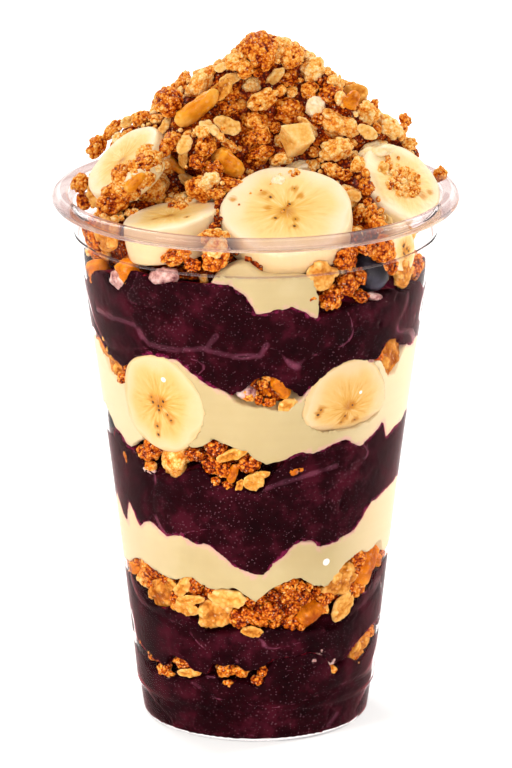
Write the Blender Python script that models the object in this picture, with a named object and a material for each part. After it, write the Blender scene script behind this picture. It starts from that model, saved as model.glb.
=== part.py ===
# A clear plastic cup of acai, layered with cream, granola and banana slices,
# and heaped with granola above its rim.
#
# Sizes are in millimetres and are turned to metres as each mesh is made.
# Angles go round the cup in degrees: 0 is the front (-Y), positive runs to the right (+X).
# The origin is the middle of the cup's foot, with +Z up.

import math
import random

import bmesh
import bpy
import numpy as np
from mathutils import Matrix, Vector
from mathutils.bvhtree import BVHTree

MM = 0.001
GAP = 0.3                     # clearance between pieces that touch

# Cup
CUP_SIDES = 40
WALL = 0.6
FOOT_RING_INNER = 24.0        # the foot stands on a flat ring
FOOT_RING_OUTER = 26.0
FOOT_RECESS = 1.0             # the underside is raised by this inside the ring
FLOOR_TOP = FOOT_RECESS + WALL
FOOT_RADIUS = 27.6            # outer radius just above the foot ring's rounded edge
FOOT_EDGE_HEIGHT = 1.4
STEP_HEIGHT = 7.0             # small step above the foot
STEP_RADIUS = 28.3
STEP_RISE = 0.6               # the step starts this far above its height
TAPER_BOTTOM = (9.0, 29.1)    # height and outer radius where the long taper starts
TAPER_TOP = (120.3, 42.95)    # height and outer radius where it meets the ledge
TAPER_BOW = -0.7              # the taper is slightly hollow half way up
LEDGE_HEIGHT = 121.4          # stacking ledge
BAND_RADIUS = (43.9, 44.3)    # outer radius of the band above the ledge, low and high
BAND_TOP = 128.0
LIP_RADIUS = 49.0
LIP_BOTTOM = 128.4
LIP_TOP = 131.7
LIP_INNER_RADIUS = 45.2
LIP_ROUND = 1.2               # the lip's edges are rounded by this

# Layers
RING_POINTS = 90              # points of a layer's edge at the wall
FLAT_POINTS = 30              # points of the flat middle of a layer
FLAT_SHARE = 0.75             # radius of the flat middle, as a share of the wall's
SEEN_ANGLE = 80.0             # edges are drawn from the front up to this angle each side
BACK_WAVE = 0.9               # extra waviness of the unseen back

# Edges of the layers at the wall, as (angle, height) at the front.
ACAI_2_BOTTOM = [(-80, 21), (-70, 19.8), (-60, 18.3), (-48, 16.8), (-44, 20.6), (-36, 20.6),
                 (-32, 18), (-24, 17.3), (-20, 20.6), (-10, 20.6), (-4, 18.6), (3, 19.6),
                 (8, 21.6), (14, 22.8), (30, 23), (40, 18.2), (50, 20.3), (60, 23.5),
                 (70, 25), (80, 22.5)]
CREAM_1_BOTTOM = [(-80, 39.5), (-70, 40.6), (-62, 43.2), (-50, 42), (-38, 40.3), (-30, 43.2),
                  (-22, 40.1), (-8, 40.2), (0, 36.6), (8, 41), (19, 43.3), (27, 39.8),
                  (34, 40.2), (41, 44.6), (50, 47.5), (58, 45.5), (67, 47.6), (71, 43.6),
                  (80, 43.5)]
CREAM_1_TOP = [(-80, 57), (-74, 54.5), (-69, 48.8), (-66, 57), (-62, 57.6), (-57, 52),
               (-50, 54.9), (-40, 52), (-33, 53.5), (-27, 50.9), (-20, 51.7), (-13, 47.8),
               (0, 43.7), (4, 44.2), (9, 48.3), (16, 51.6), (23, 52.8), (28, 50.1),
               (44, 52.6), (52, 57.8), (57, 59.7), (80, 61.5)]
CREAM_2_BOTTOM = [(-80, 80), (-73, 79.5), (-70, 75), (-66, 76), (-59, 72.4), (-55, 72.2),
                  (-50, 76), (-22, 76.5), (-15, 79.3), (-8, 77.8), (-2, 76.3), (2, 73.6),
                  (9, 73.3), (18, 76), (22, 75.2), (36, 77.8), (44, 75), (51, 77),
                  (56, 79.4), (60, 74.8), (80, 77.5)]
ACAI_4_BOTTOM = [(-80, 99.5), (-73, 98.4), (-62, 94), (-55, 93.4), (-41, 99.1), (-28, 98.7),
                 (-20, 94.5), (-12, 91.8), (-7, 90), (-3, 94), (4, 95.8), (8, 95.5),
                 (15, 89), (19, 91.8), (28, 95.7), (36, 97.3), (48, 96), (52, 100.3),
                 (57, 101), (62, 100), (65, 96), (70, 97.7), (73, 95), (80, 97)]
ACAI_4_TOP = [(-80, 109.5), (-72, 113.6), (-66, 116.4), (-60, 115.5), (-52, 112.7),
              (-44, 119.2), (-38, 119.5), (-34, 116.5), (-26, 119.3), (-6, 119.2), (0, 111.8),
              (5, 111.6), (12, 113.4), (21, 109.6), (30, 111.7), (44, 111.3), (53, 113.4),
              (59, 110.1), (67, 113.2), (80, 108)]

# Thickness of each granola band at the wall; the layer below ends that far under its edge.
GRANOLA_1_THICK = [(-80, 3), (-70, 3), (-60, 4.6), (-48, 3.2), (-44, 6), (-36, 5.4), (-30, 2.4),
                   (-24, 0), (-21, 2), (-17, 6.4), (-12, 6.5), (-5, 2.3), (0, 4.3), (4, 3.6),
                   (7, 0), (37, 0), (40, 3), (44, 2.6), (47, 0), (50, 0.8), (57, 6),
                   (64, 6.3), (76, 2.2), (80, 3)]
GRANOLA_2_THICK = [(-80, 1.8), (-70, 3), (-62, 6.3), (-59, 10.8), (-36, 8.4), (-26, 13.3),
                   (-12, 12.3), (0, 8.6), (14, 13), (22, 14), (30, 10.4), (40, 17), (46, 16),
                   (58, 10.2), (66, 8.4), (71, 4), (80, 2.5)]
GRANOLA_3_THICK = [(-80, 7.5), (-73, 7), (-70, 0), (-56, 0), (-50, 6.6), (-44, 9), (-34, 9.8),
                   (-25, 5.3), (-21, 6.5), (-16, 11.8), (-8, 12.2), (0, 9.5), (5, 6), (10, 0),
                   (80, 0)]
GRANOLA_4_THICK = [(-80, 2), (-68, 4), (-62, 6), (-57, 6.3), (-50, 0), (-9, 0), (-6, 3),
                   (-3, 7), (8, 9.5), (12, 5.7), (17, 0), (48, 0), (51, 5), (58, 12),
                   (62, 8), (65, 0), (80, 0)]

CREAM_POUR_TOP = [(-15, 118.8), (-13, 121.5), (-9, 123), (-4, 124), (-1, 123.4), (2, 121),
                  (15, 121), (19, 119.5), (21, 115)]
CREAM_POUR_DEPTH = 9.0

# Granola bands
CORE_INSET = 2.0              # the core of a band stays this far behind the wall
BAND_PIECE_SIZES = (1.8, 4.0)
TWO_ROWS_FROM = 8.0           # a band thicker than this has two rows of pieces
PIECE_SPACING = 2.2           # distance between pieces, as a multiple of their radius
LEAST_CORE = 0.8              # the core ends where it would be thinner than this
LEAST_POCKET = 1.0            # where a band is thinner than this at the wall, it has no pocket
SHUT_RISE = 9.0               # there its lower boundary is this far above the upper one
BAND_REACH = 20.0             # more than a band rises or falls from its middle

# Heap of granola above the layers, as (height, outer radius at the sides)
HEAP_OUTLINE = [(126, 42.3), (132, 42.3), (141.5, 39.2), (145.5, 36), (149.5, 30.5), (153.4, 26),
                (157.3, 21.3), (161.3, 16.8), (165.2, 11), (168, 6)]
HEAP_TOP = 169.6
HEAP_CORE_RINGS = (127, 134, 141, 147, 153, 159, 164)   # heights of the core's rings above the cup
HEAP_CORE_TOP = 166.1
HEAP_RISE = (126.0, 14.0)     # the heap starts to follow its outline here, over this height
HEAP_FOOT = 113.0             # lowest pieces of granola seen through the wall
HEAP_IN_CUP = 130.0           # pieces below this lie against the wall
HEAP_ROOT = 10.0              # the core goes this far below the middle of the top layer
HEAP_CENTRE = (1.8, 3.5)
HEAP_SIDES = 20
HEAP_FRONT_SHARE = 0.72       # the heap is steeper at the front, behind the banana
HEAP_CORE_INSET = 3.0
HEAP_PIECES = 67
HEAP_PIECE_SIZES = (3.3, 5.3)

# Banana slices: middle of the upper face, direction it looks, radius, thickness, and the
# direction and distance in which the heap leaves it free
SLICE_SIDES = 18
TOP_SLICES = {
    "banana_front": ((7.4, -28.3, 133.8), (0.0, -0.469, 0.883), 15.5, 7.6, (0.0, 0.42, 0.9), 26.0),
    "banana_right": ((35.0, -8.0, 135.3), (0.5, -0.54, 0.68), 10.8, 6.6, (0.5, -0.54, 0.68), 12.0),
    "banana_left_back": ((-32.0, -7.0, 140.6), (-0.63, -0.25, 0.73), 10.8, 6.0, (-0.63, -0.25, 0.73), 8.0),
    "banana_left_front": ((-20.4, -23.6, 131.4), (-0.2, -0.03, 0.98), 11.6, 9.0, (0.2, 0.42, 0.88), 8.0),
    "banana_low_right": ((35.6, -20.4, 121.6), (0.85, -0.49, 0.12), 5.4, 4.2, (0.85, -0.49, 0.12), 2.0),
}

# Slices pressed against the wall inside the cream: angle, height, radius,
# height of the cream in front of them (None where nothing covers them)
WALL_SLICES = {
    "banana_cream_left": (-37.5, 86.6, 11.9, None),
    "banana_cream_right": (36.0, 85.4, 12.2, 82.6),
}
WALL_SLICE_DEPTH = 7.0
COVER_SLOPE = 0.5             # a covered slice leans away from the wall below the cream line
COVER_SQUASH = 0.5            # and so its lower half stands less high

BLUEBERRY_ANGLE = 46.5
BLUEBERRY_HEIGHT = 117.6
BLUEBERRY_RADIUS = 4.6

COLOURS = {
    "clear_plastic": ((0.93, 0.94, 0.95), 0.06),
    "acai": ((0.075, 0.008, 0.028), 0.35),
    "cream": ((0.86, 0.74, 0.5), 0.4),
    "granola": ((0.58, 0.24, 0.055), 0.75),
    "banana_flesh": ((0.88, 0.73, 0.38), 0.5),
    "blueberry_skin": ((0.06, 0.06, 0.1), 0.5),
}


def remove_everything():
    for old in list(bpy.data.objects):
        bpy.data.objects.remove(old, do_unlink=True)


def make_material(name):
    colour, roughness = COLOURS[name]
    material = bpy.data.materials.new(name)
    material.use_nodes = True
    shader = material.node_tree.nodes["Principled BSDF"]
    shader.inputs["Base Color"].default_value = (*colour, 1.0)
    shader.inputs["Roughness"].default_value = roughness
    shader.inputs["Metallic"].default_value = 0.0
    if name == "clear_plastic":
        shader.inputs["Transmission Weight"].default_value = 0.9
    return material


def at(angle, radius, height):
    turn = math.radians(angle)
    return (radius * math.sin(turn), -radius * math.cos(turn), height)


def taper_radius(height):
    """Outer radius of the cup's long taper."""
    low_height, low_radius = TAPER_BOTTOM
    high_height, high_radius = TAPER_TOP
    share = (height - low_height) / (high_height - low_height)
    return low_radius + (high_radius - low_radius) * share + TAPER_BOW * 4 * share * (1 - share)


def food_radius(height):
    """Radius of whatever touches the inside of the cup at this height."""
    step_start = STEP_HEIGHT + STEP_RISE
    if height < step_start:
        share = max(0.0, height - FLOOR_TOP) / (STEP_HEIGHT - FLOOR_TOP)
        outer = FOOT_RADIUS + (STEP_RADIUS - FOOT_RADIUS) * min(1.0, share)
    elif height < TAPER_BOTTOM[0]:
        share = (height - step_start) / (TAPER_BOTTOM[0] - step_start)
        outer = STEP_RADIUS + (TAPER_BOTTOM[1] - STEP_RADIUS) * share
    elif height < LEDGE_HEIGHT:
        outer = taper_radius(min(height, TAPER_TOP[0]))
    else:
        outer = BAND_RADIUS[0]
    return outer - WALL - GAP


def edge_height(edge, angle):
    """Height of a layer's edge. The back repeats the front, stretched, with a slow wave."""
    angle = (angle + 180.0) % 360.0 - 180.0
    if abs(angle) <= SEEN_ANGLE:
        return float(np.interp(angle, *zip(*edge)))
    past = abs(angle) - SEEN_ANGLE
    stretched = SEEN_ANGLE - (past if angle > 0 else 2 * (180.0 - SEEN_ANGLE) - past) * 0.8
    height = float(np.interp(stretched, *zip(*edge)))
    window = math.sin(math.pi * past / (2 * (180.0 - SEEN_ANGLE)))
    return height + BACK_WAVE * window * math.sin(math.radians(3 * angle) + edge[0][1])


class Edge:
    """One boundary between layers: its height at the wall and its flat middle."""

    def __init__(self, line, drop=None, lift=0.0):
        self.line = line
        self.drop = drop
        self.lift = lift
        self.flat = float(np.mean([self.height(a) for a in range(0, 360, 4)]))

    def height(self, angle):
        height = edge_height(self.line, angle)
        if self.drop:
            height -= float(plain_value(self.drop, angle))
        return height + self.lift

    def moved(self, lift):
        return Edge(self.line, self.drop, self.lift + lift)


def plain_value(values, angle):
    """A value round the cup with the back stretched like an edge, but without its wave."""
    angle = (angle + 180.0) % 360.0 - 180.0
    if abs(angle) > SEEN_ANGLE:
        past = abs(angle) - SEEN_ANGLE
        angle = SEEN_ANGLE - (past if angle > 0 else 2 * (180.0 - SEEN_ANGLE) - past) * 0.8
    return np.interp(angle, *zip(*values))


def new_object(name, points, faces, material=None):
    mesh = bpy.data.meshes.new(name)
    mesh.from_pydata([tuple(c * MM for c in point) for point in points], [], faces)
    body = bmesh.new()
    body.from_mesh(mesh)
    bmesh.ops.remove_doubles(body, verts=body.verts, dist=1e-6)
    bmesh.ops.recalc_face_normals(body, faces=body.faces)
    body.to_mesh(mesh)
    body.free()
    item = bpy.data.objects.new(name, mesh)
    bpy.context.scene.collection.objects.link(item)
    if material:
        mesh.materials.append(material)
    return item


def smooth(item, sharp_degrees=40.0):
    item.data.shade_smooth()
    item.data.set_sharp_from_angle(angle=math.radians(sharp_degrees))


def bake_boolean(item, operation, other, solver="EXACT"):
    """Cut or join an object or a collection with the item, and keep the result."""
    modifier = item.modifiers.new("boolean", "BOOLEAN")
    modifier.operation = operation
    modifier.solver = solver
    if isinstance(other, bpy.types.Collection):
        modifier.operand_type = "COLLECTION"
        modifier.collection = other
    else:
        modifier.object = other
    bpy.context.view_layer.update()
    ready = item.evaluated_get(bpy.context.evaluated_depsgraph_get())
    result = bpy.data.meshes.new_from_object(ready)
    item.modifiers.clear()
    item.data = result


def cut(item, cutter, keep_cutter=False):
    bake_boolean(item, "DIFFERENCE", cutter)
    if not keep_cutter:
        bpy.data.objects.remove(cutter, do_unlink=True)


def join_pieces(core, pieces):
    """Fuse loose pieces onto a core."""
    group = bpy.data.collections.new("pieces")
    bpy.context.scene.collection.children.link(group)
    for piece in pieces:
        bpy.context.scene.collection.objects.unlink(piece)
        group.objects.link(piece)
    bake_boolean(core, "UNION", group)
    for piece in pieces:
        bpy.data.objects.remove(piece, do_unlink=True)
    bpy.data.collections.remove(group)


def keep_largest_body(item):
    """Drop loose scraps and the inner walls of sealed hollows."""
    body = bmesh.new()
    body.from_mesh(item.data)
    bmesh.ops.remove_doubles(body, verts=body.verts, dist=2e-6)
    bmesh.ops.dissolve_degenerate(body, edges=body.edges, dist=2e-6)
    bmesh.ops.dissolve_limit(body, angle_limit=math.radians(0.5), verts=body.verts, edges=body.edges)
    bmesh.ops.triangulate(body, faces=body.faces)
    unseen = set(body.faces)
    groups = []
    while unseen:
        stack = [unseen.pop()]
        group = []
        while stack:
            face = stack.pop()
            group.append(face)
            for edge in face.edges:
                for near in edge.link_faces:
                    if near in unseen:
                        unseen.remove(near)
                        stack.append(near)
        groups.append(group)

    def volume(group):
        return sum(f.verts[0].co.dot(f.verts[1].co.cross(f.verts[2].co)) for f in group)

    groups.sort(key=volume)
    for group in groups[:-1]:
        bmesh.ops.delete(body, geom=group, context="FACES")
    body.to_mesh(item.data)
    body.free()


def edge_rings(edge, skirt=0.0, inset=0.0):
    """Points of a boundary: an optional skirt outside the wall, the wall ring, the flat middle."""
    rings = []
    wall = []
    outside = []
    for i in range(RING_POINTS):
        angle = 360.0 * i / RING_POINTS
        height = edge.height(angle)
        wall.append(at(angle, food_radius(height) - inset, height))
        outside.append(at(angle, food_radius(height) + skirt, height))
    flat = []
    for i in range(FLAT_POINTS):
        angle = 360.0 * i / FLAT_POINTS
        flat.append(at(angle, FLAT_SHARE * food_radius(edge.flat), edge.flat))
    if skirt:
        rings.append(outside)
    rings.append(wall)
    rings.append(flat)
    return rings


def bridge(start_a, count_a, start_b, count_b, faces):
    """Triangles between a ring of points and a coarser or equal one."""
    ratio = count_a // count_b
    for i in range(count_b):
        b0 = start_b + i
        b1 = start_b + (i + 1) % count_b
        first = i * ratio
        middle = first + (ratio + 1) // 2
        for j in range(first, first + ratio):
            a0 = start_a + j % count_a
            a1 = start_a + (j + 1) % count_a
            faces.append((a0, a1, b0 if j < middle else b1))
        faces.append((start_a + middle % count_a, b1, b0))


def solid_from_rings(name, rings, material=None):
    """Closed body through a stack of rings, capped at both ends."""
    points = []
    starts = []
    for ring in rings:
        starts.append(len(points))
        points.extend(ring)
    faces = []
    for (start_a, ring_a), (start_b, ring_b) in zip(zip(starts, rings), list(zip(starts, rings))[1:]):
        if len(ring_a) >= len(ring_b):
            bridge(start_a, len(ring_a), start_b, len(ring_b), faces)
        else:
            bridge(start_b, len(ring_b), start_a, len(ring_a), faces)
    faces.append(tuple(range(starts[0], starts[0] + len(rings[0]))))
    faces.append(tuple(range(starts[-1], starts[-1] + len(rings[-1]))))
    return new_object(name, points, faces, material)


def flat_ring(radius, height, count=RING_POINTS):
    return [at(360.0 * i / count, radius, height) for i in range(count)]


def make_layer(name, lower, upper, material):
    """A layer between two boundaries. None as the lower one is the floor of the cup."""
    if lower is None:
        low = FLOOR_TOP + GAP
        start = [flat_ring(food_radius(low) - 1.0, low, FLAT_POINTS)]
        start += [flat_ring(food_radius(h), h, FLAT_POINTS) for h in (low + 1.2, STEP_HEIGHT, TAPER_BOTTOM[0])]
    else:
        start = edge_rings(lower.moved(GAP / 2))[::-1]
    return solid_from_rings(name, start + edge_rings(upper.moved(-GAP / 2)), material)


def make_column(edge, low, skirt=0.0, inset=0.0):
    """Everything under a boundary, down to a low level, used to cut and to bound other bodies."""
    wide = skirt - inset
    rings = [flat_ring(food_radius(low) + wide, low)]
    return solid_from_rings("column", rings + edge_rings(edge, skirt, inset))


def make_band_core(name, lower, upper):
    """The hidden middle of a granola band, drawn back from the wall and where the band ends."""
    rims = ([], [])
    flats = ([], [])
    step = 360.0 / FLAT_POINTS
    top_flat = upper.flat - GAP / 2
    low_flat = lower.flat + GAP / 2
    for i in range(FLAT_POINTS):
        angle = step * i
        nearby = [angle + step * share for share in (-1.33, -1.0, -0.67, -0.33, 0.0, 0.33, 0.67, 1.0, 1.33)]
        top_wall = min(upper.height(a) for a in nearby) - 2 * GAP
        low_wall = max(lower.height(a) for a in nearby) + 2 * GAP
        wall = food_radius(upper.height(angle))
        share = 1.0 - CORE_INSET / wall
        while share > FLAT_SHARE + 0.03:
            reach = (share - FLAT_SHARE) / (1.0 - FLAT_SHARE)
            top = top_flat + (min(top_wall, top_flat + 4.0) - top_flat) * reach
            low = low_flat + (max(low_wall, low_flat - 4.0) - low_flat) * reach
            if top - low > LEAST_CORE:
                break
            share -= 0.02
        rims[0].append(at(angle, wall * share, low))
        rims[1].append(at(angle, wall * share, top))
        flats[0].append(at(angle, FLAT_SHARE * wall - 1.0, low_flat))
        flats[1].append(at(angle, FLAT_SHARE * wall - 1.0, top_flat))
    return solid_from_rings(name, [flats[0], rims[0], rims[1], flats[1]])


def make_pocket_core(name, lower, upper):
    """The middle of a band with narrow pockets: what two boundaries leave free behind the wall."""
    low = lower.flat - BAND_REACH
    high = upper.flat + BAND_REACH
    drop = [(angle, thick if thick > LEAST_POCKET else -SHUT_RISE) for angle, thick in lower.drop]
    shut = Edge(lower.line, drop, GAP / 2)
    shut.flat = lower.flat + GAP / 2
    core = make_column(upper.moved(-GAP / 2), low)
    cut(core, make_column(shut, low - 1.0, skirt=CORE_INSET))
    keep_largest_body(core)
    rings = [flat_ring(food_radius(h) - CORE_INSET, h) for h in (low - 1.0, high)]
    inside = solid_from_rings("inside", rings)
    bake_boolean(core, "INTERSECT", inside)
    bpy.data.objects.remove(inside, do_unlink=True)
    core.name = name
    return core


def make_chunk(centre, radius, draw, flatness=0.8):
    """A rough crumb of granola with twenty faces."""
    body = bmesh.new()
    bmesh.ops.create_icosphere(body, subdivisions=1, radius=1.0)
    stretch = Vector((draw.uniform(0.8, 1.25), draw.uniform(0.8, 1.15), draw.uniform(flatness, 1.0)))
    turn = Matrix.Rotation(draw.uniform(0, math.tau), 3, Vector((draw.random(), draw.random(), 1)))
    points = []
    for vert in body.verts:
        rough = draw.uniform(0.86, 1.14)
        local = Vector([a * b for a, b in zip(vert.co, stretch)]) * rough * radius
        points.append(Vector(centre) + turn @ local)
    faces = [[v.index for v in face.verts] for face in body.faces]
    body.free()
    return points, faces


def surface_tree(points, faces):
    return BVHTree.FromPolygons([Vector(p) for p in points], faces)


def item_tree(item):
    points = [vert.co / MM for vert in item.data.vertices]
    return surface_tree(points, [tuple(face.vertices) for face in item.data.polygons])


def is_inside(tree, point):
    """Whether a point is inside a closed surface, from the faces that a line from it crosses."""
    hits = 0
    start = Vector(point)
    way = Vector((0.123, 0.071, 0.99)).normalized()
    while True:
        place, normal, index, distance = tree.ray_cast(start, way)
        if place is None:
            return hits % 2 == 1
        hits += 1
        start = place + way * 0.001


def clear_chunk(centre, size, draw, obstacles):
    """A crumb that keeps its distance from its neighbours, smaller where it must be, or None."""
    if any(is_inside(tree, centre) for tree in obstacles):
        return None
    points, faces = make_chunk(centre, size, draw)
    middle = Vector(centre)
    for shrink in (1.0, 0.85, 0.7, 0.58, 0.48):
        grown = [middle + (p - middle) * shrink * (1.0 + GAP / (size * shrink)) for p in points]
        tree = surface_tree(grown, faces)
        if not any(tree.overlap(other) for other in obstacles):
            return new_object("piece", [middle + (p - middle) * shrink for p in points], faces)
    return None


def make_band(name, lower, upper, thickness, seed, neighbours, material, make_core=make_band_core):
    """A granola band: a core behind the wall with rough pieces fused on."""
    draw = random.Random(seed)
    obstacles = [item_tree(item) for item in neighbours]
    core = make_core(name, lower, upper)
    pieces = []
    angle = -180.0
    while angle < 180.0:
        thick = max(0.0, float(plain_value(thickness, angle))) - GAP
        rows = 2 if thick > TWO_ROWS_FROM else 1
        size = min(max(thick / rows * 0.56, BAND_PIECE_SIZES[0]), BAND_PIECE_SIZES[1])
        top = upper.height(angle) - GAP / 2
        if thick > 1.6:
            for row in range(rows):
                height = top - thick * (row + 0.5) / rows
                radius = food_radius(height) - size * 1.05
                shift = draw.uniform(-1.5, 1.5)
                piece = clear_chunk(at(angle + shift, radius, height), size, draw, obstacles)
                if piece:
                    pieces.append(piece)
        angle += math.degrees(size * PIECE_SPACING / food_radius(top))
    join_pieces(core, pieces)
    finish_food(core, material)
    return core


def finish_food(item, material):
    keep_largest_body(item)
    item.data.materials.clear()
    item.data.materials.append(material)


def make_cup(material):
    outer = [(0.0, FOOT_RECESS), (FOOT_RING_INNER - 0.6, FOOT_RECESS), (FOOT_RING_INNER, 0.0),
             (FOOT_RING_OUTER, 0.0), (FOOT_RADIUS, FOOT_EDGE_HEIGHT), (STEP_RADIUS, STEP_HEIGHT),
             (TAPER_BOTTOM[1], TAPER_BOTTOM[0])]
    middle = [TAPER_BOTTOM[0] + (TAPER_TOP[0] - TAPER_BOTTOM[0]) * share for share in (0.35, 0.7)]
    outer += [(taper_radius(h), h) for h in middle]
    outer += [(TAPER_TOP[1], TAPER_TOP[0]), (BAND_RADIUS[0], LEDGE_HEIGHT), (BAND_RADIUS[1], BAND_TOP),
              (LIP_RADIUS - LIP_ROUND / 3, LIP_BOTTOM), (LIP_RADIUS, LIP_BOTTOM + LIP_ROUND),
              (LIP_RADIUS - LIP_ROUND, LIP_TOP - LIP_ROUND / 6), (LIP_INNER_RADIUS, LIP_TOP)]
    inner = [(BAND_RADIUS[1] - WALL, BAND_TOP), (BAND_RADIUS[0] - WALL, LEDGE_HEIGHT + 0.3),
             (TAPER_TOP[1] - WALL, TAPER_TOP[0] + 0.2)]
    inner += [(taper_radius(h) - WALL, h) for h in middle[::-1]]
    inner += [(TAPER_BOTTOM[1] - WALL, TAPER_BOTTOM[0] + 0.2), (STEP_RADIUS - WALL, STEP_HEIGHT + 0.2),
              (FOOT_RADIUS - WALL, FLOOR_TOP), (0.0, FLOOR_TOP)]
    body = bmesh.new()
    verts = [body.verts.new((radius * MM, 0.0, height * MM)) for radius, height in outer + inner]
    edges = [body.edges.new(pair) for pair in zip(verts, verts[1:])]
    bmesh.ops.spin(body, geom=verts + edges, cent=(0, 0, 0), axis=(0, 0, 1), angle=math.tau,
                   steps=CUP_SIDES, use_duplicate=False, use_merge=True)
    bmesh.ops.remove_doubles(body, verts=body.verts, dist=1e-6)
    bmesh.ops.recalc_face_normals(body, faces=body.faces)
    mesh = bpy.data.meshes.new("cup")
    body.to_mesh(mesh)
    body.free()
    mesh.materials.append(material)
    cup = bpy.data.objects.new("cup", mesh)
    bpy.context.scene.collection.objects.link(cup)
    smooth(cup, 25.0)
    return cup


def slice_frame(normal):
    """Two directions across a slice and the way its face looks."""
    up = Vector(normal).normalized()
    side = up.cross(Vector((0, 1, 0.2))).normalized()
    return side, up.cross(side).normalized(), up


def free_slice(name, spec, material=None, grow=0.0):
    """A banana slice with a softly rounded edge."""
    centre, normal, radius, thickness = spec[:4]
    side, across, up = slice_frame(normal)
    middle = Vector(centre)
    soft = 1.1
    sections = [(radius - soft + grow, grow * up), (radius + grow, (grow - soft) * up),
                (radius * 0.97 + grow, (soft - thickness - grow) * up),
                (radius * 0.97 - soft + grow, (-thickness - grow) * up)]
    rings = []
    for wide, shift in sections:
        ring = []
        for i in range(SLICE_SIDES):
            turn = math.tau * i / SLICE_SIDES
            lobes = 1.0 + 0.02 * math.cos(5 * turn)
            ring.append(middle + shift + wide * lobes * (math.cos(turn) * side + math.sin(turn) * across))
        rings.append(ring)
    return solid_from_rings(name, rings, material)


def wall_slice(name, spec, material=None, grow=0.0, cutter=False):
    """A slice bent along the wall. A covered one leans inwards below the cream line."""
    angle, height, radius, cover = spec

    def place(share, turn, back):
        across = (radius + grow) * share * math.cos(turn)
        up = (radius + grow) * share * math.sin(turn)
        depth = 0.0
        if cover is not None:
            up *= COVER_SQUASH if up < 0 else 1.0
            depth = COVER_SLOPE * max(0.0, cover - (height + up))
        if back:
            inward = WALL_SLICE_DEPTH + grow + depth
        elif cutter:
            inward = min(depth - grow, 4 * (depth - 1.0))
        else:
            inward = depth
        wall = food_radius(height + up)
        return at(angle + math.degrees(across / wall), wall - inward, height + up)

    def ring(share, back):
        return [place(share, math.tau * i / SLICE_SIDES, back) for i in range(SLICE_SIDES)]

    rings = [ring(0.5, False), ring(0.93, False)]
    if cutter:
        rings.append(ring(1.0, False))
    else:
        rings.append([blend_points(a, b, 0.12) for a, b in zip(ring(1.0, False), ring(1.0, True))])
    rings.append(ring(1.0, True))
    return solid_from_rings(name, rings, material)


def blend_points(a, b, share):
    return tuple(p + (q - p) * share for p, q in zip(a, b))


def make_cream_pour(name, top_edge, material=None, grow=0.0):
    """The tongue of cream that runs down the wall under the front banana slice."""
    first = CREAM_POUR_TOP[0][0]
    last = CREAM_POUR_TOP[-1][0]
    steps = 14
    rings = []
    for i in range(steps + 1):
        share = i / steps
        angle = first + (last - first) * share
        spread = angle + math.degrees(grow / food_radius(115)) * (2 * share - 1)
        top = float(np.interp(angle, *zip(*CREAM_POUR_TOP))) + grow
        low = top_edge.flat - 8.0
        past_wall = 2.0 if grow else -0.1
        outer = food_radius(min(top, TAPER_TOP[0])) + past_wall
        depth = (CREAM_POUR_DEPTH + grow) * (0.55 + 0.45 * math.sin(math.pi * share))
        inner = food_radius(top) - depth
        rings.append([at(spread, food_radius(low) + past_wall, low), at(spread, outer, top),
                      at(spread, inner, top), at(spread, inner, low)])
    return solid_from_rings(name, rings, material)


def heap_rise(height):
    """How far the heap follows its own outline, from 0 in the cup to 1 above it."""
    start, reach = HEAP_RISE
    return min(1.0, max(0.0, (height - start) / reach))


def heap_radius(height, angle):
    """Outer radius of the heap, steeper at the front."""
    radius = float(np.interp(height, *zip(*HEAP_OUTLINE)))
    share = max(0.0, math.cos(math.radians(angle))) ** 1.2
    rise = heap_rise(height)
    return radius * (1.0 - (1.0 - HEAP_FRONT_SHARE) * share * rise)


def heap_point(height, angle, inset=0.0):
    """A point of the heap's outline, drawn in until nothing of the heap lies over a slice."""
    rise = heap_rise(height)
    radius = max(1.5, heap_radius(height, angle) - inset)
    while True:
        x, y, z = at(angle, radius, height)
        point = Vector((x + HEAP_CENTRE[0] * rise, y + HEAP_CENTRE[1] * rise, z))
        if radius <= 2.0 or not any(is_over_slice(point, spec, inset) for spec in TOP_SLICES.values()):
            return point
        radius -= 0.5


def is_over_slice(point, spec, margin):
    """Whether a point lies over a slice's face, along the way that the heap leaves free."""
    centre, normal, radius, thickness, free_way, free_length = spec
    up = Vector(normal).normalized()
    way = Vector(free_way)
    foot = Vector(centre) - thickness * up
    lift = (point - foot).dot(up) / way.dot(up)
    if lift < 0 or lift > free_length + thickness:
        return False
    return (point - foot - lift * way).length < radius + min(margin, 1.0)


def make_heap_core(top_edge):
    low = top_edge.flat - HEAP_ROOT
    rings = []
    for height in (low, TAPER_TOP[0] - 1.0):
        rings.append(flat_ring(food_radius(height) - HEAP_CORE_INSET, height, HEAP_SIDES))
    for height in HEAP_CORE_RINGS:
        rings.append([heap_point(height, 360.0 * i / HEAP_SIDES, HEAP_CORE_INSET) for i in range(HEAP_SIDES)])
    peak = Vector((HEAP_CENTRE[0], HEAP_CENTRE[1], HEAP_CORE_TOP))
    rings.append([peak + Vector(at(360.0 * i / HEAP_SIDES, HEAP_CORE_INSET, 0.0)) for i in range(HEAP_SIDES)])
    core = solid_from_rings("granola_heap", rings)
    cut(core, make_column(top_edge.moved(GAP / 2), low - 6.0, skirt=4.0))
    return core


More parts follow.
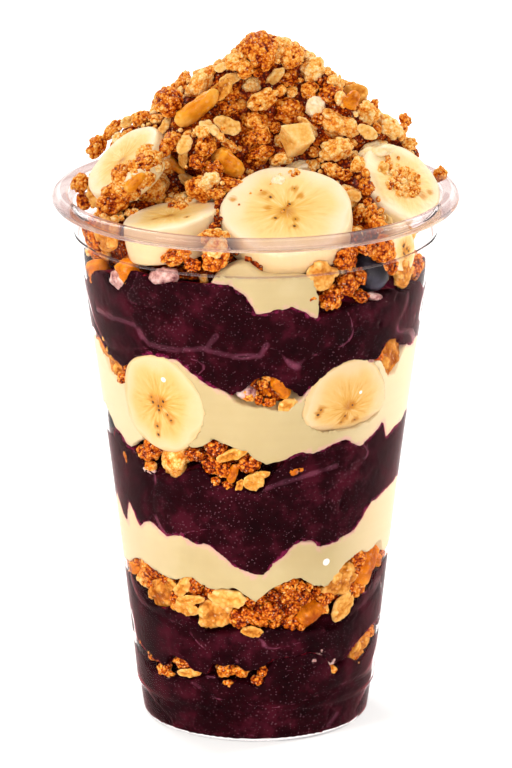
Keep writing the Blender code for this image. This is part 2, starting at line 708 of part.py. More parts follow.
def make_heap(top_edge, neighbours, material):
    draw = random.Random(41)
    core = make_heap_core(top_edge)
    for spec in TOP_SLICES.values():
        cut(core, free_slice("cutter", spec, grow=GAP))
    cut(core, make_cream_pour("cutter", top_edge, grow=GAP))
    cut(core, make_blueberry("cutter", grow=GAP))
    keep_largest_body(core)
    obstacles = [item_tree(item) for item in neighbours]
    turn = 360.0 * (1 - 1 / 1.618034)
    pieces = []
    for i in range(HEAP_PIECES):
        share = (i + 0.5) / HEAP_PIECES
        height = HEAP_FOOT + (HEAP_TOP - 2.5 - HEAP_FOOT) * share ** 0.8
        size = draw.uniform(*HEAP_PIECE_SIZES)
        if height < HEAP_IN_CUP:
            centre = Vector(at(turn * i, food_radius(height) - size * 1.1, height))
        else:
            centre = heap_point(height, turn * i, size * 0.95)
        piece = clear_chunk(centre, size, draw, obstacles)
        if piece:
            pieces.append(piece)
    join_pieces(core, pieces)
    finish_food(core, material)
    return core


def make_blueberry(name, material=None, grow=0.0):
    body = bmesh.new()
    bmesh.ops.create_icosphere(body, subdivisions=2, radius=BLUEBERRY_RADIUS + grow)
    centre = Vector(at(BLUEBERRY_ANGLE, food_radius(BLUEBERRY_HEIGHT) - BLUEBERRY_RADIUS, BLUEBERRY_HEIGHT))
    points = [centre + vert.co for vert in body.verts]
    faces = [[v.index for v in face.verts] for face in body.faces]
    body.free()
    return new_object(name, points, faces, material)


def main():
    remove_everything()
    materials = {name: make_material(name) for name in COLOURS}

    acai_2_bottom = Edge(ACAI_2_BOTTOM)
    acai_1_top = Edge(ACAI_2_BOTTOM, GRANOLA_1_THICK)
    cream_1_bottom = Edge(CREAM_1_BOTTOM)
    acai_2_top = Edge(CREAM_1_BOTTOM, GRANOLA_2_THICK)
    cream_1_top = Edge(CREAM_1_TOP)
    cream_2_bottom = Edge(CREAM_2_BOTTOM)
    acai_3_top = Edge(CREAM_2_BOTTOM, GRANOLA_3_THICK)
    acai_4_bottom = Edge(ACAI_4_BOTTOM)
    cream_2_top = Edge(ACAI_4_BOTTOM, GRANOLA_4_THICK)
    acai_4_top = Edge(ACAI_4_TOP)

    cup = make_cup(materials["clear_plastic"])
    acai = materials["acai"]
    cream = materials["cream"]
    granola = materials["granola"]
    flesh = materials["banana_flesh"]
    acai_1 = make_layer("acai_1", None, acai_1_top, acai)
    acai_2 = make_layer("acai_2", acai_2_bottom, acai_2_top, acai)
    cream_1 = make_layer("cream_1", cream_1_bottom, cream_1_top, cream)
    acai_3 = make_layer("acai_3", cream_1_top, acai_3_top, acai)
    cream_2 = make_layer("cream_2", cream_2_bottom, cream_2_top, cream)
    acai_4 = make_layer("acai_4", acai_4_bottom, acai_4_top, acai)

    wall_slices = []
    for name, spec in WALL_SLICES.items():
        wall_slices.append(wall_slice(name, spec, flesh))
        for item, material in ((cream_2, cream), (acai_4, acai)):
            cut(item, wall_slice("cutter", spec, grow=GAP, cutter=True))
            finish_food(item, material)

    make_band("granola_1", acai_1_top, acai_2_bottom, GRANOLA_1_THICK, 11,
              [cup, acai_1, acai_2], granola)
    make_band("granola_2", acai_2_top, cream_1_bottom, GRANOLA_2_THICK, 12,
              [cup, acai_2, cream_1], granola)
    upper_bands = (
        (acai_3, cream_2, ("granola_3", acai_3_top, cream_2_bottom, GRANOLA_3_THICK, 13), make_band_core),
        (cream_2, acai_4, ("granola_4", cream_2_top, acai_4_bottom, GRANOLA_4_THICK, 14), make_pocket_core))
    for under, over, spec, make_core in upper_bands:
        band = make_band(*spec, [cup, under, over] + wall_slices, granola, make_core)
        for spec in WALL_SLICES.values():
            cut(band, wall_slice("cutter", spec, grow=GAP, cutter=True))
            finish_food(band, granola)

    on_top = [free_slice(name, spec, flesh) for name, spec in TOP_SLICES.items()]
    on_top.append(make_blueberry("blueberry", materials["blueberry_skin"]))
    for item in on_top:
        smooth(item)
    pour = make_cream_pour("cream_top", acai_4_top, cream)
    cut(pour, make_column(acai_4_top.moved(GAP / 2), acai_4_top.flat - 14.0, skirt=4.0))
    cut(pour, free_slice("cutter", TOP_SLICES["banana_front"], grow=GAP))
    finish_food(pour, cream)
    make_heap(acai_4_top, [cup, acai_4, pour] + on_top, granola)


main()
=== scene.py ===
import math
import random

import bpy
import numpy as np
from mathutils import Matrix, Vector, noise
from mathutils.bvhtree import BVHTree
from mathutils.kdtree import KDTree


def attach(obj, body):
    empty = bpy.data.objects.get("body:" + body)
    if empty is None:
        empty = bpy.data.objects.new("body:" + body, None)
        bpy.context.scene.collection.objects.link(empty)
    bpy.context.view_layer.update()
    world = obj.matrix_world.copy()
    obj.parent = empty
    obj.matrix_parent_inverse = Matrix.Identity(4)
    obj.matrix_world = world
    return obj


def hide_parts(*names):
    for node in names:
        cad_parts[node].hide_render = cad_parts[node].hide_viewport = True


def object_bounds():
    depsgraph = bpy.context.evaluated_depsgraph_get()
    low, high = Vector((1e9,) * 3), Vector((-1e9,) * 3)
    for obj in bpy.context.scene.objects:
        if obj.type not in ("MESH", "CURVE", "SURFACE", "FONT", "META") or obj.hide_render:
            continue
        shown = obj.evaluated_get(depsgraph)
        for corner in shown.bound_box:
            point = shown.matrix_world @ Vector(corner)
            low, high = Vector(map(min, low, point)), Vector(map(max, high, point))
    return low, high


mm = 0.001
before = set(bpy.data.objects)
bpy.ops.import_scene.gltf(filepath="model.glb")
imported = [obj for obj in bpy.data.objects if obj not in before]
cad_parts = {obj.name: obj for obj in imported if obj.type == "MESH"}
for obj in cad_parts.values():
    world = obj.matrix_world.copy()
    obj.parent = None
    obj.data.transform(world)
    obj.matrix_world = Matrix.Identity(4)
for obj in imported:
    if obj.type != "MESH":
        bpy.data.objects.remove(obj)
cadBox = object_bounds()
bpy.ops.object.select_all(action="DESELECT")

# What every piece shares: angles go round the cup in degrees, 0 at the front, positive to the right
cupSizes = {
    "wall": 0.6,                  # thickness of the plastic, in mm
    "taperLow": (9.0, 29.1),      # height and outer radius where the long taper starts
    "taperHigh": (120.3, 42.95),
    "taperBow": -0.7,             # how far the middle of the taper is pulled in
    "stepHeight": 7.0,
    "stepRise": 0.6,
    "footRadius": 27.6,
    "stepRadius": 28.3,
    "bandLow": (121.4, 43.9),     # height and outer radius of the band under the lip
    "bandHigh": (128.0, 44.3),
    "lipLow": 128.4,
    "lipTop": 131.7,
    "milkyLip": 128.1,            # the plastic is thick above this height, and on the ledge
    "milkyLedge": (120.9, 121.4),
    "rings": 17,                  # stretches of the taper
    "sides": 160,
    "footRound": ((0.1, 0.5, 1.2, 2.2), (26.3, 27.0, 27.5, 27.65)),   # heights and outer radii
}

view = {
    "location": (0.0, -1500.0, 524.26),   # mm
    "pitch": 16.41,                       # degrees below level
    "focal": 6444.9,                      # in pixels of the 512 x 768 frame
    "middle": (255.6, 384.0),             # pixel that the camera looks at
    "frame": (512, 768),
    "sensor": 36.0,
}


def say(words):
    print("scene:", words)


# Helpers for meshes

def pick(item):
    bpy.ops.object.select_all(action="DESELECT")
    item.select_set(True)
    bpy.context.view_layer.objects.active = item
    return item


def applyModifier(item, kind, **settings):
    pick(item)
    modifier = item.modifiers.new(kind.lower(), kind)
    for name, value in settings.items():
        setattr(modifier, name, value)
    bpy.ops.object.modifier_apply(modifier=modifier.name)


def cloudTexture(name, size, depth=2):
    texture = bpy.data.textures.new(name, "CLOUDS")
    texture.noise_scale = size * mm
    texture.noise_depth = depth
    return texture


def pointsOf(item):
    points = np.empty(len(item.data.vertices) * 3)
    item.data.vertices.foreach_get("co", points)
    return points.reshape(-1, 3) / mm


def setPoints(item, points):
    item.data.vertices.foreach_set("co", (np.asarray(points) * mm).ravel())
    item.data.update()


def normalsOf(item):
    normals = np.empty(len(item.data.vertices) * 3)
    item.data.vertices.foreach_get("normal", normals)
    return normals.reshape(-1, 3)


def setAttribute(item, name, values):
    attribute = item.data.attributes.new(name, "FLOAT", "POINT")
    attribute.data.foreach_set("value", np.asarray(values, dtype=np.float32))


def smoothShade(item):
    item.data.shade_smooth()


def newPiece(name, points, triangles, attributes=None):
    mesh = bpy.data.meshes.new(name)
    mesh.vertices.add(len(points))
    mesh.vertices.foreach_set("co", (np.asarray(points) * mm).ravel())
    mesh.loops.add(len(triangles) * 3)
    mesh.loops.foreach_set("vertex_index", np.asarray(triangles, dtype=np.int32).ravel())
    mesh.polygons.add(len(triangles))
    mesh.polygons.foreach_set("loop_start", np.arange(len(triangles), dtype=np.int32) * 3)
    mesh.update(calc_edges=True)
    mesh.validate()
    mesh.shade_smooth()
    item = bpy.data.objects.new(name, mesh)
    bpy.context.scene.collection.objects.link(item)
    for attribute, values in (attributes or {}).items():
        setAttribute(item, attribute, values)
    return item


def handIn(item, slotName, material, *nodes):
    # Material, body and the nodes that a piece stands for; the slot name is not used.
    item.data.materials.clear()
    item.data.materials.append(material)
    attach(item, "root")
    if nodes:
        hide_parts(*nodes)


def mergedCopy(node, name):
    # A CAD node's mesh in a new object, with its loose triangles merged.
    item = bpy.data.objects.new(name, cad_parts[node].data.copy())
    bpy.context.scene.collection.objects.link(item)
    item.data.materials.clear()
    pick(item)
    bpy.ops.object.mode_set(mode="EDIT")
    bpy.ops.mesh.select_all(action="SELECT")
    bpy.ops.mesh.remove_doubles(threshold=0.01 * mm)
    bpy.ops.mesh.normals_make_consistent(inside=False)
    bpy.ops.object.mode_set(mode="OBJECT")
    return item


def nodeTree(*nodes):
    # A tree of CAD nodes' faces in mm, to measure distances and cast rays.
    points = []
    faces = []
    for node in nodes:
        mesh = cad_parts[node].data
        start = len(points)
        points += [vert.co / mm for vert in mesh.vertices]
        faces += [tuple(start + i for i in face.vertices) for face in mesh.polygons]
    return BVHTree.FromPolygons(points, faces)


def distances(tree, points, farthest):
    # Distance of each point to a tree, or the farthest one that matters.
    found = []
    for point in points:
        distance = tree.find_nearest(Vector(point), farthest)[3]
        found.append(farthest if distance is None else distance)
    return np.array(found)


# Helpers for places

def wallRadius(height):
    # Outer radius of the cup at a height.
    height = np.asarray(height, dtype=float)
    low, lowRadius = cupSizes["taperLow"]
    high, highRadius = cupSizes["taperHigh"]
    share = (height - low) / (high - low)
    taper = lowRadius + (highRadius - lowRadius) * share + cupSizes["taperBow"] * 4 * share * (1 - share)
    stepLow = cupSizes["stepHeight"]
    stepHigh = stepLow + cupSizes["stepRise"]
    flare = cupSizes["stepRadius"] - cupSizes["footRadius"]
    foot = cupSizes["footRadius"] + flare * np.clip(height / stepLow, 0, 1)
    step = np.interp(height, (stepHigh, low), (cupSizes["stepRadius"], lowRadius))
    band = np.interp(height, (high, cupSizes["bandLow"][0], cupSizes["bandHigh"][0]),
                     (highRadius, cupSizes["bandLow"][1], cupSizes["bandHigh"][1]))
    radius = np.where(height < low, np.where(height < stepHigh, foot, step), taper)
    return np.where(height > high, band, radius)


def radiusOf(points):
    return np.hypot(points[:, 0], points[:, 1])


def moveToRadius(points, chosen, target):
    # Moves the chosen points straight in or out to a radius.
    scale = np.where(chosen, target / np.maximum(radiusOf(points), 1e-6), 1.0)
    points[:, :2] *= scale[:, None]


def onWall(angle, height, inward):
    turn = math.radians(angle)
    radius = float(wallRadius(height)) - inward
    return Vector((radius * math.sin(turn), -radius * math.cos(turn), height))


def pixelRay(pixel):
    # Start and direction of the line of sight through a pixel of the photograph.
    pitch = math.radians(view["pitch"])
    across = (pixel[0] - view["middle"][0]) / view["focal"]
    up = (view["middle"][1] - pixel[1]) / view["focal"]
    way = Vector((across, math.cos(pitch) + up * math.sin(pitch), -math.sin(pitch) + up * math.cos(pitch)))
    return Vector(view["location"]), way.normalized()


def screenAxes():
    # Right, up and towards the camera, as the camera sees them.
    pitch = math.radians(view["pitch"])
    up = Vector((0.0, math.sin(pitch), math.cos(pitch)))
    back = Vector((0.0, -math.cos(pitch), math.sin(pitch)))
    return Vector((1.0, 0.0, 0.0)), up, back


# Helpers for materials

def toLinear(hexColour):
    values = [int(hexColour[i:i + 2], 16) / 255 for i in (1, 3, 5)]
    linear = [v / 12.92 if v <= 0.04045 else ((v + 0.055) / 1.055) ** 2.4 for v in values]
    return (*linear, 1.0)


def addNode(tree, kind, settings=None, links=None):
    # A node with its settings and links. A setting is a property, a socket, or a ramp's stops.
    node = tree.nodes.new("ShaderNode" + kind)
    for name, value in (settings or {}).items():
        if name == "stops":
            ramp = node.color_ramp
            while len(ramp.elements) < len(value):
                ramp.elements.new(0.5)
            for element, (place, colour) in zip(ramp.elements, value):
                element.position = place
                element.color = toLinear(colour) if isinstance(colour, str) else (colour, colour, colour, 1.0)
        elif isinstance(name, int) or name in node.inputs:
            node.inputs[name].default_value = toLinear(value) if isinstance(value, str) else value
        else:
            setattr(node, name, value)
    for name, source in (links or {}).items():
        tree.links.new(source, node.inputs[name])
    return node


def startMaterial(name, **settings):
    # A new material with a Principled shader. Returns the material, its tree and the shader.
    material = bpy.data.materials.new(name)
    material.use_nodes = True
    tree = material.node_tree
    tree.nodes.clear()
    shader = addNode(tree, "BsdfPrincipled", settings)
    addNode(tree, "OutputMaterial", links={"Surface": shader.outputs[0]})
    return material, tree, shader


# Camera, floor and light
say("camera, floor and light")

scene = bpy.context.scene
cameraData = bpy.data.cameras.new("camera")
cameraData.sensor_width = view["sensor"]
cameraData.lens = view["focal"] / max(view["frame"]) * view["sensor"]
cameraData.shift_x = (view["frame"][0] / 2 - view["middle"][0]) / max(view["frame"])
cameraData.clip_start = 0.05
cameraData.clip_end = 20.0
camera = bpy.data.objects.new("camera", cameraData)
camera.location = Vector(view["location"]) * mm
camera.rotation_euler = (math.radians(90 - view["pitch"]), 0.0, 0.0)
scene.collection.objects.link(camera)
scene.camera = camera
scene.view_settings.view_transform = "Standard"
scene.view_settings.look = "None"

studio = {
    "floorSize": 8.0,             # m
    "floorColour": "#f7f7f7",
    "worldColour": "#ffffff",
    "worldStrength": 0.42,
    "floorGlow": 0.35,            # keeps the ground as white as the photograph's
    # name: place in m, size in m, watts, colour
    "lamps": {
        "keyLamp": ((-0.75, -0.55, 1.15), (0.5, 0.5), 10.0, "#fffaf2"),
        "rimLamp": ((0.85, 0.45, 0.95), (0.4, 0.6), 9.0, "#fffaf4"),
        "backLamp": ((-0.5, 0.95, 0.9), (0.6, 0.4), 7.0, "#ffffff"),
        "frontLamp": ((0.35, -1.3, 0.45), (0.6, 0.4), 4.5, "#ffffff"),
    },
    "aim": (0.0, 0.0, 0.1),
}

bpy.ops.mesh.primitive_plane_add(size=studio["floorSize"], location=(0, 0, 0))
floor = bpy.context.object
floor.name = "floor"
# White laminate, matt: gives the eye an even white ground with a soft contact shadow
whiteLaminate = startMaterial("whiteLaminate", **{
    "Base Color": studio["floorColour"], "Roughness": 0.9, "Specular IOR Level": 0.1,
    "Emission Color": studio["floorColour"], "Emission Strength": studio["floorGlow"]})[0]
floor.data.materials.append(whiteLaminate)

world = bpy.data.worlds.new("studio")
world.use_nodes = True
background = world.node_tree.nodes["Background"]
background.inputs["Color"].default_value = toLinear(studio["worldColour"])
background.inputs["Strength"].default_value = studio["worldStrength"]
scene.world = world

for name, (place, size, watts, colour) in studio["lamps"].items():
    lampData = bpy.data.lights.new(name, "AREA")
    lampData.shape = "RECTANGLE"
    lampData.size, lampData.size_y = size
    lampData.energy = watts
    lampData.color = toLinear(colour)[:3]
    lamp = bpy.data.objects.new(name, lampData)
    lamp.location = place
    lamp.rotation_euler = (Vector(studio["aim"]) - Vector(place)).to_track_quat("-Z", "Y").to_euler()
    scene.collection.objects.link(lamp)


# Cup
say("cup")

def cupProfile():
    # Radius and height in mm along the plastic: outside from the middle of the foot up, then down inside.
    wall = cupSizes["wall"]
    outer = [(0.4, 1.0), (12.0, 1.0), (22.8, 1.0), (23.5, 0.8), (23.9, 0.25), (24.3, 0.0), (25.6, 0.0),
             (26.3, 0.1), (27.0, 0.5), (27.5, 1.2), (27.65, 2.2), (27.9, 4.0), (28.25, 6.7), (28.3, 7.0),
             (28.42, 7.5), (28.75, 8.2), (29.05, 8.8), (29.12, 9.3)]
    low = cupSizes["taperLow"][0] + 1.2
    high = cupSizes["taperHigh"][0] - 0.5
    heights = [low + (high - low) * i / cupSizes["rings"] for i in range(cupSizes["rings"] + 1)]
    outer += [(float(wallRadius(height)), height) for height in heights]
    outer += [(42.98, 120.3), (43.15, 120.7), (43.5, 121.0), (43.78, 121.2), (43.9, 121.6), (43.95, 122.5),
              (44.1, 125.0), (44.28, 127.6), (44.5, 128.2), (45.0, 128.45), (46.2, 128.4), (47.6, 128.35),
              (48.5, 128.6), (48.93, 129.2), (49.0, 129.9), (48.8, 130.7), (48.2, 131.3), (47.3, 131.62),
              (46.4, 131.68), (45.7, 131.5), (45.25, 131.0), (45.0, 130.2)]
    inner = [(44.6, 129.1), (44.0, 128.2), (43.7, 127.4), (43.5, 125.0), (43.35, 122.5), (43.28, 121.75),
             (43.05, 121.5), (42.7, 121.2), (42.45, 120.8), (42.36, 120.3)]
    inner += [(float(wallRadius(height)) - wall, height) for height in reversed(heights)]
    inner += [(28.5, 9.4), (28.42, 8.9), (28.15, 8.4), (27.85, 7.8), (27.7, 7.2), (27.3, 4.0), (27.05, 2.4),
              (26.6, 1.9), (25.8, 1.65), (12.0, 1.6), (0.4, 1.6)]
    return outer + inner


def turnByExtrude(name, profile, sides):
    # A turned shell: a circle is extruded and resized from one point of the profile to the next.
    bpy.ops.object.select_all(action="DESELECT")
    radius, height = profile[0]
    bpy.ops.mesh.primitive_circle_add(vertices=sides, radius=radius * mm, fill_type="NGON",
                                      location=(0, 0, height * mm))
    item = bpy.context.object
    item.name = name
    bpy.ops.object.mode_set(mode="EDIT")
    bpy.ops.mesh.select_all(action="SELECT")
    bpy.ops.mesh.delete(type="ONLY_FACE")
    bpy.ops.mesh.select_mode(type="EDGE")
    bpy.ops.mesh.select_all(action="SELECT")
    for nextRadius, nextHeight in profile[1:]:
        bpy.ops.mesh.extrude_edges_move(TRANSFORM_OT_translate={"value": (0, 0, (nextHeight - height) * mm)})
        scale = nextRadius / radius
        bpy.ops.transform.resize(value=(scale, scale, 1.0), center_override=(0, 0, nextHeight * mm))
        radius, height = nextRadius, nextHeight
    bpy.ops.mesh.edge_face_add()
    bpy.ops.mesh.select_mode(type="VERT")
    bpy.ops.mesh.select_all(action="DESELECT")
    bpy.ops.mesh.select_non_manifold()
    bpy.ops.mesh.edge_face_add()
    bpy.ops.mesh.select_all(action="SELECT")
    bpy.ops.mesh.remove_doubles(threshold=0.001 * mm)
    bpy.ops.mesh.normals_make_consistent(inside=False)
    bpy.ops.object.mode_set(mode="OBJECT")
    bpy.ops.object.transform_apply(location=True, rotation=True, scale=True)
    return item


def clearPlastic(name, colour, roughness, clearness, coat):
    # Clear PET, thermoformed: very smooth, and so thin that it hardly bends light, which is why its IOR is
    # far below PET's 1.57. Where it is thick it is milky and faintly pink.
    material, tree, shader = startMaterial(name, **{
        "Base Color": colour, "Roughness": roughness, "IOR": 1.035, "Transmission Weight": clearness,
        "Coat Weight": coat, "Coat Roughness": 0.05})
    # fine rings left by the mould
    place = addNode(tree, "TexCoord").outputs["Object"]
    split = addNode(tree, "SeparateXYZ", links={0: place})
    flat = addNode(tree, "CombineXYZ", links={0: split.outputs[0], 1: split.outputs[1]})
    out = addNode(tree, "VectorMath", {"operation": "LENGTH"}, {0: flat.outputs[0]})
    ringPlace = addNode(tree, "CombineXYZ", links={0: out.outputs["Value"], 1: split.outputs[2]})
    rings = addNode(tree, "TexNoise", {"Scale": 620.0, "Detail": 2.0}, {"Vector": ringPlace.outputs[0]})
    tint = addNode(tree, "MapRange", {"From Min": 0.44, "From Max": 0.56}, {"Value": rings.outputs[0]})
    mixed = addNode(tree, "MixRGB", {1: colour, 2: "#fdf8f7"}, {0: tint.outputs[0]})
    tree.links.new(mixed.outputs[0], shader.inputs["Base Color"])
    bump = addNode(tree, "Bump", {"Strength": 0.1, "Distance": 0.05 * mm}, {"Height": rings.outputs[0]})
    tree.links.new(bump.outputs[0], shader.inputs["Normal"])
    clear = addNode(tree, "BsdfTransparent", {"Color": "#fbfbfb"})
    path = addNode(tree, "LightPath")
    mix = addNode(tree, "MixShader", links={
        0: path.outputs["Is Shadow Ray"], 1: shader.outputs[0], 2: clear.outputs[0]})
    output = next(node for node in tree.nodes if node.type == "OUTPUT_MATERIAL")
    tree.links.new(mix.outputs[0], output.inputs["Surface"])
    return material


cup = turnByExtrude("clear_cup", cupProfile(), cupSizes["sides"])
smoothShade(cup)
handIn(cup, "clear_plastic", clearPlastic("clearPet", "#fbf5f4", 0.03, 1.0, 0.0), "cup")
# the lip and the ledge are thick
cup.data.materials.append(clearPlastic("milkyPet", "#c8b0ad", 0.1, 0.88, 0.25))
for face in cup.data.polygons:
    height = face.center.z / mm
    if height > cupSizes["milkyLip"] or cupSizes["milkyLedge"][0] < height < cupSizes["milkyLedge"][1]:
        face.material_index = 1


# Layers of acai and cream
say("acai and cream")

layers = {
    # sizes in mm
    "voxel": 0.6,
    "smoothing": 2,               # rounds of smoothing
    "tongueSmoothing": 12,        # the tongue of cream has a softer edge
    "grow": 0.22,                 # closes the gaps between the solids
    "acaiInto": 0.38,             # from the outside of the wall, so this is just inside the plastic
    "creamInto": 0.46,
    "footInto": 0.25,
    "wallReach": 1.55,            # what is nearer than this to the outside of the wall is pressed to it
    "footReach": 0.5,             # added to it at the bottom
    "floorTop": 1.6,              # the floor of the cup, and how far up from it the foot's shape fades
    "footFade": 3.4,
    "footSink": ((23.2, 24.5), (0.3, 1.4)),   # radii, and how far the bottom goes into the plastic there
    "edgeWave": (0.55, 5.5),      # height and length of the small waves along an edge
    "waveReach": (0.9, 3.0),      # the waves are full to the first depth, and fade over the second
    "waveStart": (9.0, 6.0),      # height where the waves start, and over which they grow
    "farthest": 6.0,              # distances to other layers are measured up to this
}

folds = {
    "depth": 0.35,
    "length": 17.0,
    "bend": (1.6, 7.0),           # length as a share of the fold's own, and height in mm
    "stretch": (0.55, 0.55, 1.5),
    "narrow": 7.0,                # the higher, the narrower a fold
    "skin": 0.4,                  # what is this near to the plastic can fold
    "creaseWidth": 0.95,          # half width of a crease that the photograph shows
    "creaseDepth": 0.4,
    "creaseWobble": (2.2, 0.35),  # length and share of the width
    "pitSize": 2.6,
    "pitShare": (2.2, 1.15),      # the noise is stretched by the first and cut off at the second
    "pitDepth": 0.6,
}


def flowNoise(points, size, seed, stretch=(1.0, 1.0, 1.0)):
    # Smooth noise from -1 to 1 at points in mm.
    shift = Vector((seed * 17.3, seed * 5.1, seed * 9.7))
    stretched = np.asarray(points) * stretch
    return np.array([noise.noise(Vector(point) / size + shift) for point in stretched])


def makeLayer(node, name, into, attributes):
    # A layer from its node's form: smoothed, wavy along its edges and pressed into the plastic.
    item = mergedCopy(node, name)
    applyModifier(item, "REMESH", mode="VOXEL", voxel_size=layers["voxel"] * mm)
    rounds = layers["tongueSmoothing" if node == "cream_top" else "smoothing"]
    applyModifier(item, "SMOOTH", factor=0.6, iterations=rounds)
    points = pointsOf(item)
    normals = normalsOf(item)
    points += normals * layers["grow"]
    radius = radiusOf(points)
    wall = wallRadius(points[:, 2])
    full, fade = layers["waveReach"]
    nearWall = np.clip(1.0 - (wall - radius - full) / fade, 0.0, 1.0)
    # the same small waves in every layer, so that two edges that meet stay together
    height, length = layers["edgeWave"]
    wave = flowNoise(points, length, 1) + 0.5 * flowNoise(points, length * 0.4, 2)
    # the bottom goes into the plastic too, deepest in the foot ring
    low = np.clip(1.0 - (points[:, 2] - layers["floorTop"]) / layers["footFade"], 0.0, 1.0)
    points[:, 2] -= low * np.interp(radius, *layers["footSink"])
    start, growth = layers["waveStart"]
    points[:, 2] += wave * height * 1.8 * nearWall * np.clip((points[:, 2] - start) / growth, 0, 1)
    # what was at the wall goes just into the plastic
    atWall = radius > wall - layers["wallReach"] - layers["footReach"] * low
    rounded = np.interp(points[:, 2], *cupSizes["footRound"]) - layers["footInto"]
    inFoot = points[:, 2] < cupSizes["footRound"][0][-1]
    target = np.minimum(wallRadius(points[:, 2]) - into, np.where(inFoot, rounded, np.inf))
    moveToRadius(points, atWall, target)
    setPoints(item, points)
    for label, tree in attributes.items():
        setAttribute(item, label, distances(tree, points, layers["farthest"]))
    smoothShade(item)
    return item


# creases and cracks seen in the photograph, in its pixels
creasePixels = (
    ((95, 310), (110, 318), (132, 325), (140, 338)),
    ((137, 330), (147.5, 345.6), (173, 351), (206.6, 349), (215, 337)),
    ((206.6, 351), (234.5, 358), (260, 357), (267, 345)),
    ((263, 490), (297, 480), (337, 467)),
    ((338, 715), (330, 725)),
)


def creaseTree():
    # The creases as a row of points on the cup.
    points = []
    for line in creasePixels:
        for start, end in zip(line, line[1:]):
            for share in np.linspace(0.0, 1.0, 40):
                pixel = [a + (b - a) * share for a, b in zip(start, end)]
                points.append(cupTree.ray_cast(*pixelRay(pixel))[0])
    tree = KDTree(len(points))
    for number, point in enumerate(points):
        tree.insert(point, number)
    tree.balance()
    return tree


def creaseAcai(item, seed):
    # Soft folds where the acai has slid along the wall and leaves it a little.
    points = pointsOf(item)
    radius = radiusOf(points)
    atWall = radius > wallRadius(points[:, 2]) - layers["acaiInto"] - folds["skin"]
    length = folds["length"]
    bendLength, bendHeight = folds["bend"]
    bent = points.copy()
    bent[:, 2] += flowNoise(points, length * bendLength, seed) * bendHeight
    fold = 1.0 - np.abs(flowNoise(bent, length, seed + 1, folds["stretch"])) * folds["narrow"]
    fold = np.clip(fold, 0.0, 1.0) ** 1.5
    stretch, cut = folds["pitShare"]
    pits = np.clip(flowNoise(points, folds["pitSize"], seed + 2) * stretch - cut, 0.0, 1.0)
    wobbleLength, wobble = folds["creaseWobble"]
    toCrease = np.array([creases.find(point)[2] for point in points]) / folds["creaseWidth"]
    toCrease += wobble * flowNoise(points, wobbleLength, seed + 3)
    groove = np.exp(-np.clip(toCrease, 0.0, None) ** 2)
    depth = (fold * folds["depth"] + pits * folds["pitDepth"] + groove * folds["creaseDepth"]) * atWall
    points[:, :2] *= (1.0 - depth / np.maximum(radius, 1e-6))[:, None]
    setPoints(item, points)
    setAttribute(item, "fold", fold * atWall)
    setAttribute(item, "pit", pits * atWall)
    setAttribute(item, "toCrease", np.where(atWall, toCrease, 9.0))


